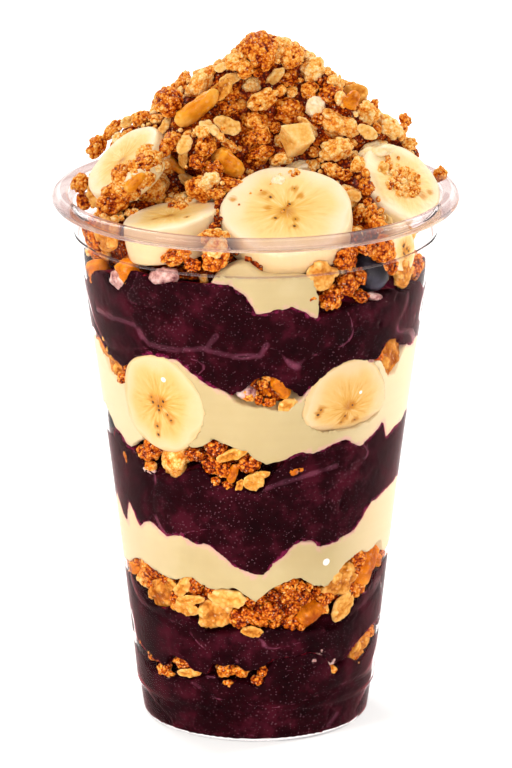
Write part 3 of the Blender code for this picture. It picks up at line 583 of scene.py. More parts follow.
def blendedAcai():
    # Acai pulp, frozen and blended: dark purple, with fine ice crystals and a magenta edge; painted highlight
    # along its folds and crease edges, painted shade in its creases and pits.
    material, tree, shader = startMaterial("frozenAcaiPulp", **{
        "Roughness": 0.4, "IOR": 1.36, "Specular IOR Level": 0.05,
        "Sheen Weight": 0.75, "Sheen Roughness": 0.25, "Sheen Tint": "#f4304f"})
    place = addNode(tree, "TexCoord").outputs["Object"]
    cloud = addNode(tree, "TexNoise", {"Scale": 130.0, "Detail": 5.0, "Roughness": 0.65}, {"Vector": place})
    base = addNode(tree, "ValToRGB", {"stops": ((0.34, "#140003"), (0.5, "#210208"), (0.66, "#3f0c19"))},
                   {"Fac": cloud.outputs[0]})
    # painted highlight: a thin pale pink line along the middle of each fold, broken by noise
    fold = addNode(tree, "Attribute", {"attribute_name": "fold"})
    broken = addNode(tree, "TexNoise", {"Scale": 260.0, "Detail": 2.0}, {"Vector": place})
    shownFold = addNode(tree, "MapRange", {"From Min": 0.42, "From Max": 0.6, "To Min": 0.0, "To Max": 0.6},
                        {"Value": broken.outputs[0]})
    thin = addNode(tree, "MapRange", {"From Min": 0.84, "From Max": 0.97}, {"Value": fold.outputs["Fac"]})
    crease = addNode(tree, "Math", {"operation": "MULTIPLY"}, {0: thin.outputs[0], 1: shownFold.outputs[0]})
    foldHighlighted = addNode(tree, "MixRGB", {2: "#8f4a63"}, {0: crease.outputs[0], 1: base.outputs[0]})
    # painted shade in the middle of a crease and painted highlight along its edges
    line = addNode(tree, "Attribute", {"attribute_name": "toCrease"})
    creaseHighlight = addNode(tree, "MapRange", {"From Min": 0.35, "From Max": 1.0, "To Min": 0.4, "To Max": 0.0},
                   {"Value": line.outputs["Fac"]})
    brokenCreaseHighlight = addNode(tree, "Math", {"operation": "MULTIPLY"}, {0: creaseHighlight.outputs[0], 1: broken.outputs[0]})
    creaseHighlighted = addNode(tree, "MixRGB", {2: "#b0607c"}, {0: brokenCreaseHighlight.outputs[0], 1: foldHighlighted.outputs[0]})
    deep = addNode(tree, "MapRange", {"From Min": 0.15, "From Max": 0.4, "To Min": 0.8, "To Max": 0.0},
                   {"Value": line.outputs["Fac"]})
    creaseShaded = addNode(tree, "MixRGB", {2: "#0d0205"}, {0: deep.outputs[0], 1: creaseHighlighted.outputs[0]})
    toCream = addNode(tree, "Attribute", {"attribute_name": "toCream"})
    rough = addNode(tree, "TexNoise", {"Scale": 900.0, "Detail": 3.0}, {"Vector": place})
    reach = addNode(tree, "MapRange", {"From Min": 0.25, "From Max": 0.75, "To Min": 0.3, "To Max": 1.5},
                    {"Value": rough.outputs[0]})
    near = addNode(tree, "Math", {"operation": "DIVIDE"}, {0: toCream.outputs["Fac"], 1: reach.outputs[0]})
    fringe = addNode(tree, "MapRange", {"From Min": 0.4, "From Max": 1.0, "To Min": 1.0, "To Max": 0.0},
                     {"Value": near.outputs[0]})
    pink = addNode(tree, "MixRGB", {2: "#85204a"}, {0: fringe.outputs[0], 1: creaseShaded.outputs[0]})
    toGranola = addNode(tree, "Attribute", {"attribute_name": "toGranola"})
    byGranola = addNode(tree, "Math", {"operation": "DIVIDE"},
                        {0: toGranola.outputs["Fac"], 1: reach.outputs[0]})
    nearCrumb = addNode(tree, "MapRange", {"From Min": 0.3, "From Max": 1.0, "To Min": 0.85, "To Max": 0.0},
                        {"Value": byGranola.outputs[0]})
    rim = addNode(tree, "MixRGB", {2: "#7a1c3c"}, {0: nearCrumb.outputs[0], 1: pink.outputs[0]})
    crystals = addNode(tree, "TexVoronoi", {"Scale": 1000.0}, {"Vector": place})
    speck = addNode(tree, "MapRange", {"From Min": 0.1, "From Max": 0.22, "To Min": 0.26, "To Max": 0.0},
                    {"Value": crystals.outputs["Distance"]})
    patch = addNode(tree, "TexNoise", {"Scale": 100.0, "Detail": 2.0}, {"Vector": place})
    some = addNode(tree, "MapRange", {"From Min": 0.4, "From Max": 0.65, "To Min": 0.3},
                   {"Value": patch.outputs[0]})
    shown = addNode(tree, "Math", {"operation": "MULTIPLY"}, {0: speck.outputs[0], 1: some.outputs[0]})
    icy = addNode(tree, "MixRGB", {2: "#c08a9c"}, {0: shown.outputs[0], 1: rim.outputs[0]})
    # painted shade: darker in the pits
    pit = addNode(tree, "Attribute", {"attribute_name": "pit"})
    dark = addNode(tree, "MixRGB", {2: "#0d0205"}, {0: pit.outputs["Fac"], 1: icy.outputs[0]})
    tree.links.new(dark.outputs[0], shader.inputs["Base Color"])
    grain = addNode(tree, "TexNoise", {"Scale": 700.0, "Detail": 4.0, "Roughness": 0.6}, {"Vector": place})
    bump = addNode(tree, "Bump", {"Strength": 0.3, "Distance": 0.3 * mm}, {"Height": grain.outputs[0]})
    tree.links.new(bump.outputs[0], shader.inputs["Normal"])
    return material


def sweetCream():
    # Condensed milk cream: smooth, warm white and slightly see-through, with pink smears at the acai.
    material, tree, shader = startMaterial("milkCream", **{
        "Roughness": 0.35, "IOR": 1.38, "Specular IOR Level": 0.15, "Subsurface Weight": 0.1,
        "Subsurface Radius": (1.0, 0.7, 0.35), "Subsurface Scale": 1.0 * mm,
        "Sheen Weight": 0.15, "Sheen Roughness": 0.4, "Sheen Tint": "#fff4e2"})
    place = addNode(tree, "TexCoord").outputs["Object"]
    cloud = addNode(tree, "TexNoise", {"Scale": 70.0, "Detail": 3.0}, {"Vector": place})
    base = addNode(tree, "ValToRGB", {"stops": ((0.3, "#c2ad7d"), (0.55, "#c9b585"), (0.75, "#d3c193"))},
                   {"Fac": cloud.outputs[0]})
    # painted light: paler at the sides, where more light comes through it
    split = addNode(tree, "SeparateXYZ", links={0: place})
    off = addNode(tree, "Math", {"operation": "ABSOLUTE"}, {0: split.outputs[0]})
    lit = addNode(tree, "MapRange", {"From Min": 18.0 * mm, "From Max": 36.0 * mm, "To Max": 0.75},
                  {"Value": off.outputs[0]})
    base = addNode(tree, "MixRGB", {2: "#f6e3bd"}, {0: lit.outputs[0], 1: base.outputs[0]})
    toAcai = addNode(tree, "Attribute", {"attribute_name": "toAcai"})
    rough = addNode(tree, "TexNoise", {"Scale": 700.0, "Detail": 3.0}, {"Vector": place})
    reach = addNode(tree, "MapRange", {"From Min": 0.3, "From Max": 0.7, "To Min": 0.4, "To Max": 2.0},
                    {"Value": rough.outputs[0]})
    near = addNode(tree, "Math", {"operation": "DIVIDE"}, {0: toAcai.outputs["Fac"], 1: reach.outputs[0]})
    smear = addNode(tree, "MapRange", {"From Min": 0.3, "From Max": 1.0, "To Min": 0.7, "To Max": 0.0},
                    {"Value": near.outputs[0]})
    pink = addNode(tree, "MixRGB", {2: "#dba3a0"}, {0: smear.outputs[0], 1: base.outputs[0]})
    tree.links.new(pink.outputs[0], shader.inputs["Base Color"])
    return material


def glossyWhite():
    # Nearly white and glossy.
    material, tree, shader = startMaterial("glossyWhiteBlob", **{
        "Roughness": 0.15, "IOR": 1.4, "Subsurface Weight": 0.2, "Subsurface Radius": (1.0, 0.9, 0.7),
        "Subsurface Scale": 0.8 * mm})
    place = addNode(tree, "TexCoord").outputs["Object"]
    cloud = addNode(tree, "TexNoise", {"Scale": 400.0}, {"Vector": place})
    colour = addNode(tree, "ValToRGB", {"stops": ((0.35, "#fbf4e6"), (0.65, "#fffdf8"))},
                     {"Fac": cloud.outputs[0]})
    tree.links.new(colour.outputs[0], shader.inputs["Base Color"])
    return material


acaiNodes = ("acai_1", "acai_2", "acai_3", "acai_4")
creamNodes = ("cream_1", "cream_2", "cream_top")
granolaNodes = ("granola_1", "granola_2", "granola_3", "granola_4", "granola_heap")
cupTree = nodeTree("cup")
creases = creaseTree()
acaiTree = nodeTree(*acaiNodes)
creamTree = nodeTree(*creamNodes)
granolaTree = nodeTree(*granolaNodes)
acaiPulp = blendedAcai()
milkCream = sweetCream()
whiteBlobFinish = glossyWhite()
for number, node in enumerate(acaiNodes):
    nextTo = {"toCream": creamTree, "toGranola": granolaTree}
    layer = makeLayer(node, node + "_blend", layers["acaiInto"], nextTo)
    creaseAcai(layer, 3 + 4 * number)
    handIn(layer, "acai", acaiPulp, node)
for node in creamNodes:
    layer = makeLayer(node, node + "_smooth", layers["creamInto"], {"toAcai": acaiTree})
    handIn(layer, "cream", milkCream, node)

# Round white blobs on the inside of the wall: angle, height and width in mm
whiteBlobs = ((-34.5, 93.5, 2.4), (41.0, 89.5, 2.2), (31.3, 46.5, 2.3))
for number, (angle, height, width) in enumerate(whiteBlobs):
    place = onWall(angle, height, cupSizes["wall"] + 0.05)
    bpy.ops.object.select_all(action="DESELECT")
    bpy.ops.mesh.primitive_uv_sphere_add(segments=24, ring_count=12, radius=width / 2 * mm,
                                         location=place * mm)
    whiteBlob = bpy.context.object
    whiteBlob.name = f"milk_drop_{number + 1}"
    whiteBlob.scale = (1.0, 0.25, 1.1)
    whiteBlob.rotation_euler = (0.0, 0.0, math.radians(angle))
    bpy.ops.object.transform_apply(location=True, rotation=True, scale=True)
    smoothShade(whiteBlob)
    handIn(whiteBlob, "cream", whiteBlobFinish)


# Banana slices and the blueberry
say("banana slices")

# middle of the upper face, the way it looks, radius and thickness in mm
freeSlices = {
    "banana_front": ((7.4, -28.3, 133.8), (0.0, -0.469, 0.883), 15.5, 7.6),
    "banana_right": ((35.0, -8.0, 135.3), (0.5, -0.54, 0.68), 10.8, 6.6),
    "banana_left_back": ((-32.0, -7.0, 140.6), (-0.63, -0.25, 0.73), 10.8, 6.0),
    "banana_left_front": ((-20.4, -23.6, 131.4), (-0.2, -0.03, 0.98), 11.6, 9.0),
    "banana_low_right": ((35.6, -20.4, 121.6), (0.85, -0.49, 0.12), 5.4, 4.2),
}
# slices in the cream: angle and height of the middle, radius, and the height of the cream that covers it
wallSlices = {
    "banana_cream_left": (-37.5, 86.6, 11.9, None),
    "banana_cream_right": (36.0, 85.4, 12.2, 82.6),
}
bananaLook = {
    "sides": 120,
    "soft": 0.9,                  # rounding of the cut edge, in mm
    "rings": 26,                  # on the cut face
    "belly": 0.012,               # how far the side and the outline leave a circle, as shares of the radius
    "lobes": 0.018,
    "ridge": 0.06,                # height of the ridges round the side, in mm
    "dent": 0.25,                 # depth of the middle of the cut face
    "wallDepth": 7.0,             # thickness of a slice at the wall
    "coverSlope": 0.5,            # how a slice slants under the cream that covers its lower part
    "coverSquash": 0.5,
    "into": 0.36,                 # from the outside of the wall
    "seed": (0.75, 0.55, 0.45),   # size of a seed, and how deep it sits
    "seedSink": 0.08,
}
# seeds seen in the photograph, in its pixels
seedPixels = {
    "banana_front": ((270.5, 197), (294.5, 188.5), (289.5, 204), (275.5, 218), (295.5, 219), (294.5, 226),
                     (284, 210)),
    "banana_right": ((415.5, 180.5), (393, 186), (407.5, 189), (401, 178), (410, 172)),
    "banana_left_front": ((187, 217),),
    "banana_left_back": (),
    "banana_cream_left": ((151.5, 397), (153, 402), (163, 401.5), (158.5, 406), (161.5, 406.5), (159, 410),
                          (167.5, 415), (171, 420.5), (157.5, 426), (158.5, 434.5)),
    "banana_cream_right": ((321, 410), (318, 415), (352.5, 405), (354.5, 419.5), (345, 416), (341, 422)),
}
# golden spots without a seed
spotPixels = {
    "banana_front": ((264, 193), (233, 200), (301, 196), (268, 208)),
    "banana_right": ((429.5, 192.5), (423, 196), (389, 163)),
    "banana_left_front": ((155, 219),),
}


def sliceAxes(normal):
    up = Vector(normal).normalized()
    side = up.cross(Vector((0, 1, 0.2))).normalized()
    return side, up.cross(side).normalized(), up


def setSlicePlace(item, places):
    attribute = item.data.attributes.new("slicePlace", "FLOAT_VECTOR", "POINT")
    attribute.data.foreach_set("vector", np.asarray(places, dtype=np.float32).ravel())


def sliceProfile(radius, thickness):
    # Radius and height down a slice from the middle of its upper face.
    soft = bananaLook["soft"]
    rings = bananaLook["rings"]
    profile = [(0.15 + (radius - soft - 0.15) * i / rings, 0.0) for i in range(rings + 1)]
    for turn in (22.5, 45.0, 67.5, 90.0):
        angle = math.radians(turn)
        profile.append((radius - soft * (1 - math.sin(angle)), -soft * (1 - math.cos(angle))))
    side = thickness - 2 * soft
    for share in (0.2, 0.4, 0.6, 0.8, 1.0):
        belly = 1 + bananaLook["belly"] * math.sin(math.pi * share)
        profile.append((radius * belly, -soft - side * share))
    for turn in (67.5, 45.0, 22.5, 0.0):
        angle = math.radians(turn)
        profile.append((radius - soft * (1 - math.sin(angle)), -thickness + soft * (1 - math.cos(angle))))
    profile += [((radius - soft) * s, -thickness) for s in (0.6, 0.25, 0.02)]
    return profile


def makeFreeSlice(name, centre, normal, radius, thickness, number):
    item = turnByExtrude(name + "_slice", sliceProfile(radius, thickness), bananaLook["sides"])
    local = pointsOf(item)
    angle = np.arctan2(local[:, 1], local[:, 0])
    out = np.hypot(local[:, 0], local[:, 1])
    lobes = 1 + bananaLook["lobes"] * (np.cos(5 * angle + number) + 0.5 * np.cos(2 * angle))
    ridges = np.cos(34 * angle + 3 * np.sin(3 * angle)) * np.clip(-local[:, 2] / 1.5, 0, 1)
    ridges *= bananaLook["ridge"]
    shaped = local.copy()
    shaped[:, 0] *= lobes + ridges / radius
    shaped[:, 1] *= lobes + ridges / radius
    onTop = np.clip(1 + local[:, 2], 0, 1)
    wavy = flowNoise(local, 5.0, 11 + number) * 0.22 + flowNoise(local, 1.4, 12 + number) * 0.08
    shaped[:, 2] += (wavy - bananaLook["dent"] * np.exp(-(out / (0.22 * radius)) ** 2)) * onTop
    side, across, up = sliceAxes(normal)
    basis = np.array([list(side), list(across), list(up)])
    setPoints(item, shaped @ basis + np.array(centre))
    setSlicePlace(item, np.column_stack([local[:, :2] / radius, local[:, 2]]))
    smoothShade(item)
    return item


def wallSlicePlace(spec, share, turn, back):
    # Place on a slice at the wall: share of its radius, turn round it, and share of its depth.
    angle, height, radius, cover = spec
    across = radius * share * math.cos(turn)
    up = radius * share * math.sin(turn)
    depth = 0.0
    if cover is not None:
        up *= bananaLook["coverSquash"] if up < 0 else 1.0
        depth = bananaLook["coverSlope"] * max(0.0, cover - (height + up))
    lean = bananaLook["into"] + back * bananaLook["wallDepth"] + depth
    wall = float(wallRadius(height + up))
    return onWall(angle + math.degrees(across / wall), height + up, lean)


def makeWallSlice(name, spec):
    # A slice bent along the wall, rounded where it leaves it.
    sides = bananaLook["sides"]
    rings = [(0.02 + 0.9 * i / 18, 0.0) for i in range(19)]
    rings += [(0.97, 0.002), (0.995, 0.008), (1.015, 0.02), (1.035, 0.05), (1.04, 0.5), (1.0, 0.95),
              (0.9, 1.0), (0.5, 1.0)]
    points = []
    places = []
    for share, back in rings:
        for i in range(sides):
            turn = math.tau * i / sides
            wide = share * (1 + bananaLook["lobes"] * (math.cos(5 * turn) + 0.5 * math.cos(2 * turn + 1)))
            points.append(wallSlicePlace(spec, wide, turn, back))
            places.append((share * math.cos(turn), share * math.sin(turn), -back))
    triangles = []
    for ring in range(len(rings) - 1):
        for i in range(sides):
            a, b = ring * sides + i, ring * sides + (i + 1) % sides
            triangles += [(a, a + sides, b), (b, a + sides, b + sides)]
    for ring, flip in ((0, False), (len(rings) - 1, True)):
        middle = len(points)
        points.append(sum((Vector(p) for p in points[ring * sides:(ring + 1) * sides]), Vector()) / sides)
        places.append((0, 0, -float(flip)))
        for i in range(sides):
            a, b = ring * sides + i, ring * sides + (i + 1) % sides
            triangles.append((middle, b, a) if flip else (middle, a, b))
    item = newPiece(name + "_slice", points, triangles)
    pick(item)
    bpy.ops.object.mode_set(mode="EDIT")
    bpy.ops.mesh.select_all(action="SELECT")
    bpy.ops.mesh.normals_make_consistent(inside=False)
    bpy.ops.object.mode_set(mode="OBJECT")
    setSlicePlace(item, places)
    return item


def bananaFlesh(name, shade, streaks):
    # Ripe banana, cut with a knife: pale and slightly see-through, golden in the middle and round the seeds,
    # with fine fibres that run out from the core.
    material, tree, shader = startMaterial(name, **{
        "Roughness": 0.4, "IOR": 1.38, "Specular IOR Level": 0.3, "Subsurface Weight": 0.2,
        "Subsurface Radius": (1.0, 0.75, 0.35), "Subsurface Scale": 1.2 * mm})
    place = addNode(tree, "Attribute", {"attribute_name": "slicePlace"})
    split = addNode(tree, "SeparateXYZ", links={0: place.outputs["Vector"]})
    flat = addNode(tree, "CombineXYZ", links={0: split.outputs[0], 1: split.outputs[1]})
    out = addNode(tree, "VectorMath", {"operation": "LENGTH"}, {0: flat.outputs[0]})
    ray = addNode(tree, "VectorMath", {"operation": "NORMALIZE"}, {0: flat.outputs[0]})
    shallow = addNode(tree, "VectorMath", {"operation": "MULTIPLY_ADD", 1: (0.5, 0.5, 0.5)},
                      {0: flat.outputs[0], 2: ray.outputs[0]})
    rays = addNode(tree, "TexNoise", {"Scale": 5.5, "Detail": 3.0, "Roughness": 0.6},
                   {"Vector": shallow.outputs[0]})
    broad = addNode(tree, "TexNoise", {"Scale": 2.2, "Detail": 0.0}, {"Vector": flat.outputs[0]})
    wander = addNode(tree, "MapRange", {"From Min": 0.25, "From Max": 0.75, "To Min": -0.09, "To Max": 0.09},
                     {"Value": broad.outputs[0]})
    far = addNode(tree, "Math", {"operation": "ADD"}, {0: out.outputs["Value"], 1: wander.outputs[0]})
    zones = addNode(tree, "ValToRGB", {"stops": (
        (0.0, "#b8722a"), (0.07, "#d6963c"), (0.16, "#ecbd62"), (0.42, "#f3cd80"), (0.64, "#f4d592"),
        (0.78, "#f6e0b2"), (0.93, "#f7e6c6"), (1.0, "#f2daae"))}, {"Fac": far.outputs[0]})
    inner = addNode(tree, "MapRange", {"From Min": 0.3, "From Max": 0.8, "To Min": 1.0, "To Max": 0.0},
                    {"Value": out.outputs["Value"]})
    dark = addNode(tree, "MapRange", {"From Min": 0.5, "From Max": 0.7, "To Min": 0.0, "To Max": streaks},
                   {"Value": rays.outputs[0]})
    darkShare = addNode(tree, "Math", {"operation": "MULTIPLY"}, {0: dark.outputs[0], 1: inner.outputs[0]})
    golden = addNode(tree, "MixRGB", {2: "#e0a23a"}, {0: darkShare.outputs[0], 1: zones.outputs[0]})
    pale = addNode(tree, "MapRange", {"From Min": 0.46, "From Max": 0.3, "To Min": 0.0, "To Max": streaks},
                   {"Value": rays.outputs[0]})
    paleShare = addNode(tree, "Math", {"operation": "MULTIPLY"}, {0: pale.outputs[0], 1: inner.outputs[0]})
    streaked = addNode(tree, "MixRGB", {2: "#f7e4b4"}, {0: paleShare.outputs[0], 1: golden.outputs[0]})
    toSeed = addNode(tree, "Attribute", {"attribute_name": "toSeed"})
    ragged = addNode(tree, "MapRange", {"From Min": 0.3, "From Max": 0.7, "To Min": 0.6, "To Max": 1.7},
                     {"Value": rays.outputs[0]})
    near = addNode(tree, "Math", {"operation": "DIVIDE"}, {0: toSeed.outputs["Fac"], 1: ragged.outputs[0]})
    halo = addNode(tree, "MapRange", {"From Min": 0.4, "From Max": 1.15, "To Min": 0.85, "To Max": 0.0},
                   {"Value": near.outputs[0]})
    spotted = addNode(tree, "MixRGB", {2: "#cf8a1e"}, {0: halo.outputs[0], 1: streaked.outputs[0]})
    onSide = addNode(tree, "MapRange", {"From Min": -1.3, "From Max": -0.4, "To Min": 1.0, "To Max": 0.0},
                     {"Value": split.outputs[2]})
    skin = addNode(tree, "MixRGB", {2: "#f1dbac"}, {0: onSide.outputs[0], 1: spotted.outputs[0]})
    # painted shade: the whole colour is multiplied by shade, so a darker shade makes a shaded copy of the
    # flesh
    shaded = addNode(tree, "MixRGB", {"blend_type": "MULTIPLY", 0: 1.0, 2: shade}, {1: skin.outputs[0]})
    tree.links.new(shaded.outputs[0], shader.inputs["Base Color"])
    fine = addNode(tree, "TexNoise", {"Scale": 900.0, "Detail": 3.0},
                   {"Vector": addNode(tree, "TexCoord").outputs["Object"]})
    both = addNode(tree, "Math", {"operation": "MULTIPLY_ADD", 1: 1.2},
                   {0: rays.outputs[0], 2: fine.outputs[0]})
    bump = addNode(tree, "Bump", {"Strength": 0.45, "Distance": 0.25 * mm}, {"Height": both.outputs[0]})
    tree.links.new(bump.outputs[0], shader.inputs["Normal"])
    return material


def bananaSeed():
    # The small dark seeds of a ripe banana, wet and half sunk.
    material, tree, shader = startMaterial("bananaSeed", **{"Roughness": 0.3, "IOR": 1.45})
    place = addNode(tree, "TexCoord").outputs["Object"]
    cloud = addNode(tree, "TexNoise", {"Scale": 1500.0}, {"Vector": place})
    colour = addNode(tree, "ValToRGB", {"stops": ((0.35, "#2c1206"), (0.65, "#6b3a12"))},
                     {"Fac": cloud.outputs[0]})
    tree.links.new(colour.outputs[0], shader.inputs["Base Color"])
    return material


flesh = bananaFlesh("bananaFlesh", "#fffcf8", 0.6)
# the slices at the wall: stronger fibres, and a darker shade, which is painted shade
shadedWallFlesh = bananaFlesh("bananaInCream", "#f0e2cc", 0.9)
slices = {}
for number, (name, (centre, normal, radius, thickness)) in enumerate(freeSlices.items()):
    slices[name] = makeFreeSlice(name, centre, normal, radius, thickness, number)
    handIn(slices[name], "banana_flesh", flesh, name)
for name, spec in wallSlices.items():
    slices[name] = makeWallSlice(name, spec)
    handIn(slices[name], "banana_flesh", shadedWallFlesh, name)


def seedPlaces(name, item, draw):
    # Where the seeds and the golden spots of a slice are: those seen in the photograph, or a ring of pairs.
    faces = [tuple(face.vertices) for face in item.data.polygons]
    tree = BVHTree.FromPolygons([Vector(point) for point in pointsOf(item)], faces)
    casts = []
    for pixel in seedPixels.get(name, ()) + spotPixels.get(name, ()):
        casts.append(pixelRay(pixel))
    if name not in seedPixels:
        centre, normal, radius, thickness = freeSlices[name]
        side, across, up = sliceAxes(normal)
        for i in range(7):
            turn = math.tau * (i // 2) / 3 + 0.35 * (i % 2) + draw.uniform(-0.15, 0.15)
            reach = radius * draw.uniform(0.16, 0.3)
            out = side * math.cos(turn) + across * math.sin(turn)
            casts.append((Vector(centre) + out * reach + up * 3, -up))
    seen = len(seedPixels.get(name, casts))
    places = []
    for number, (start, way) in enumerate(casts):
        hit, normal, index, distance = tree.ray_cast(start, way)
        if hit is not None:
            places.append((hit, normal, draw.uniform(0, math.pi), number < seen))
    return places


def addSeeds():
    # The seeds as one mesh, and on every slice how far each point is from a seed or a spot.
    draw = random.Random(5)
    places = []
    for name, item in slices.items():
        found = seedPlaces(name, item, draw)
        spots = np.array([list(place[0]) for place in found] or [(0.0, 0.0, 1000.0)])
        points = pointsOf(item)
        away = np.linalg.norm(points[:, None, :] - spots[None, :, :], axis=2).min(1)
        setAttribute(item, "toSeed", away)
        places += [place[:3] for place in found if place[3]]
    bpy.ops.object.select_all(action="DESELECT")
    bpy.ops.mesh.primitive_uv_sphere_add(segments=14, ring_count=8, radius=0.5 * mm)
    ball = bpy.context.object
    bpy.ops.object.mode_set(mode="EDIT")
    bpy.ops.transform.resize(value=bananaLook["seed"])
    bpy.ops.object.mode_set(mode="OBJECT")
    shape = pointsOf(ball)
    ball.data.calc_loop_triangles()
    faces = np.array([tuple(t.vertices) for t in ball.data.loop_triangles])
    bpy.data.objects.remove(ball)
    points = []
    triangles = []
    for hit, normal, turn in places:
        side, across, up = sliceAxes(normal)
        long = side * math.cos(turn) + across * math.sin(turn)
        basis = np.array([list(long), list(up.cross(long)), list(up)])
        triangles.append(faces + sum(len(p) for p in points))
        place = hit - normal * bananaLook["seedSink"]
        points.append(shape @ basis * draw.uniform(0.7, 1.15) + np.array(place))
    seeds = newPiece("banana_seeds", np.concatenate(points), np.concatenate(triangles))
    handIn(seeds, "banana_flesh", bananaSeed())


addSeeds()


say("blueberry")
berry = {
    "angle": 46.5,
    "height": 117.6,
    "radius": 4.6,
    "crown": (-0.3, 0.6, 0.74),     # the way that the crown looks, away from the wall
    "crownRing": (0.93, 0.03),      # where its rim is, as the cosine from its middle, and how wide
    "rimHeight": 0.35,
    "dimple": (0.955, 4.2),         # where it starts, and how steep it is
    "unevenness": 0.012,
}


def berrySkin():
    # Ripe blueberry: dark blue skin under a pale bloom that is rubbed off in places.
    material, tree, shader = startMaterial("berrySkin", **{"Roughness": 0.45, "IOR": 1.4, "Coat Weight": 0.1})
    place = addNode(tree, "TexCoord").outputs["Object"]
    cloud = addNode(tree, "TexNoise", {"Scale": 320.0, "Detail": 4.0}, {"Vector": place})
    bloom = addNode(tree, "ValToRGB", {"stops": ((0.35, "#0d0a12"), (0.55, "#1b1826"), (0.75, "#3d3c50"))},
                    {"Fac": cloud.outputs[0]})
    tree.links.new(bloom.outputs[0], shader.inputs["Base Color"])
    grain = addNode(tree, "TexNoise", {"Scale": 2500.0}, {"Vector": place})
    bump = addNode(tree, "Bump", {"Strength": 0.2, "Distance": 0.05 * mm}, {"Height": grain.outputs[0]})
    tree.links.new(bump.outputs[0], shader.inputs["Normal"])
    return material


centre = onWall(berry["angle"], berry["height"], cupSizes["wall"] + berry["radius"])
bpy.ops.object.select_all(action="DESELECT")
bpy.ops.mesh.primitive_ico_sphere_add(subdivisions=5, radius=berry["radius"] * mm, location=centre * mm)
blueberry = bpy.context.object
blueberry.name = "blueberry_fruit"
bpy.ops.object.transform_apply(location=True, rotation=True, scale=True)
points = pointsOf(blueberry) - np.array(centre)
# the crown is a shallow rim round a dimple
crown = Vector(berry["crown"]).normalized()
toCrown = points @ np.array(crown) / berry["radius"]
rimPlace, rimWidth = berry["crownRing"]
dimplePlace, steepness = berry["dimple"]
rim = np.exp(-((toCrown - rimPlace) / rimWidth) ** 2) * berry["rimHeight"]
rim -= np.clip(toCrown - dimplePlace, 0, 1) * steepness
points *= (1 + rim / berry["radius"])[:, None]
points *= (1 + berry["unevenness"] * flowNoise(points, 2.5, 40))[:, None]
setPoints(blueberry, points + np.array(centre))
smoothShade(blueberry)
handIn(blueberry, "blueberry_skin", berrySkin(), "blueberry")


# Granola: each kind is modelled once in a few shapes, and copied with its own mesh
say("granola shapes")

# length, width and thickness in mm; granules are the small balls that a cluster is baked from
granolaKinds = {
    "cluster": {"shapes": 6, "size": (8.4, 7.2, 6.6), "granules": 46, "granule": (0.75, 1.5), "voxel": 0.3,
                "grain": 0.45, "triangles": 1900},
    "lump": {"shapes": 4, "size": (7.0, 6.0, 5.6), "granules": 16, "granule": (1.2, 2.0), "voxel": 0.3,
             "grain": 0.4, "triangles": 900},
    "nut": {"shapes": 4, "size": (12.0, 5.4, 4.4), "granules": 0, "granule": (0, 0), "voxel": 0.3,
            "grain": 0.3, "triangles": 520},
    "oat": {"shapes": 5, "size": (7.0, 4.2, 1.6), "granules": 7, "granule": (0.5, 0.8), "voxel": 0.26,
            "grain": 0.32, "triangles": 460},
    "plate": {"shapes": 3, "size": (9.0, 8.0, 3.0), "granules": 9, "granule": (0.8, 1.6), "voxel": 0.3,
              "grain": 0.45, "triangles": 900},
    "chunk": {"shapes": 2, "size": (8.5, 8.0, 6.5), "granules": 0, "granule": (0, 0), "voxel": 0.3,
              "grain": 0.2, "triangles": 420},
    "crumb": {"shapes": 5, "size": (1.8, 1.5, 1.3), "granules": 0, "granule": (0, 0), "voxel": 0.0,
              "grain": 0.35, "triangles": 80},
    "crisp": {"shapes": 3, "size": (8.0, 6.0, 4.0), "granules": 9, "granule": (0.9, 1.6), "voxel": 0.3,
              "grain": 0.4, "triangles": 700},
    "ice": {"shapes": 3, "size": (6.0, 5.0, 4.0), "granules": 14, "granule": (0.6, 1.2), "voxel": 0.3,
            "grain": 0.5, "triangles": 600},
    "nugget": {"shapes": 6, "size": (6.2, 5.4, 5.0), "granules": 24, "granule": (0.8, 1.4), "voxel": 0.32,
               "grain": 0.4, "triangles": 640},
}
# share of its size that the ball inside a piece takes, and how lumpy its surface is
ballShare = {"cluster": 0.74, "nugget": 0.74, "lump": 0.7, "plate": 0.92, "oat": 0.9}
lumpShare = {"nut": 0.25, "chunk": 0.2, "oat": 0.5}
goldenTurn = math.pi * (3.0 - math.sqrt(5.0))


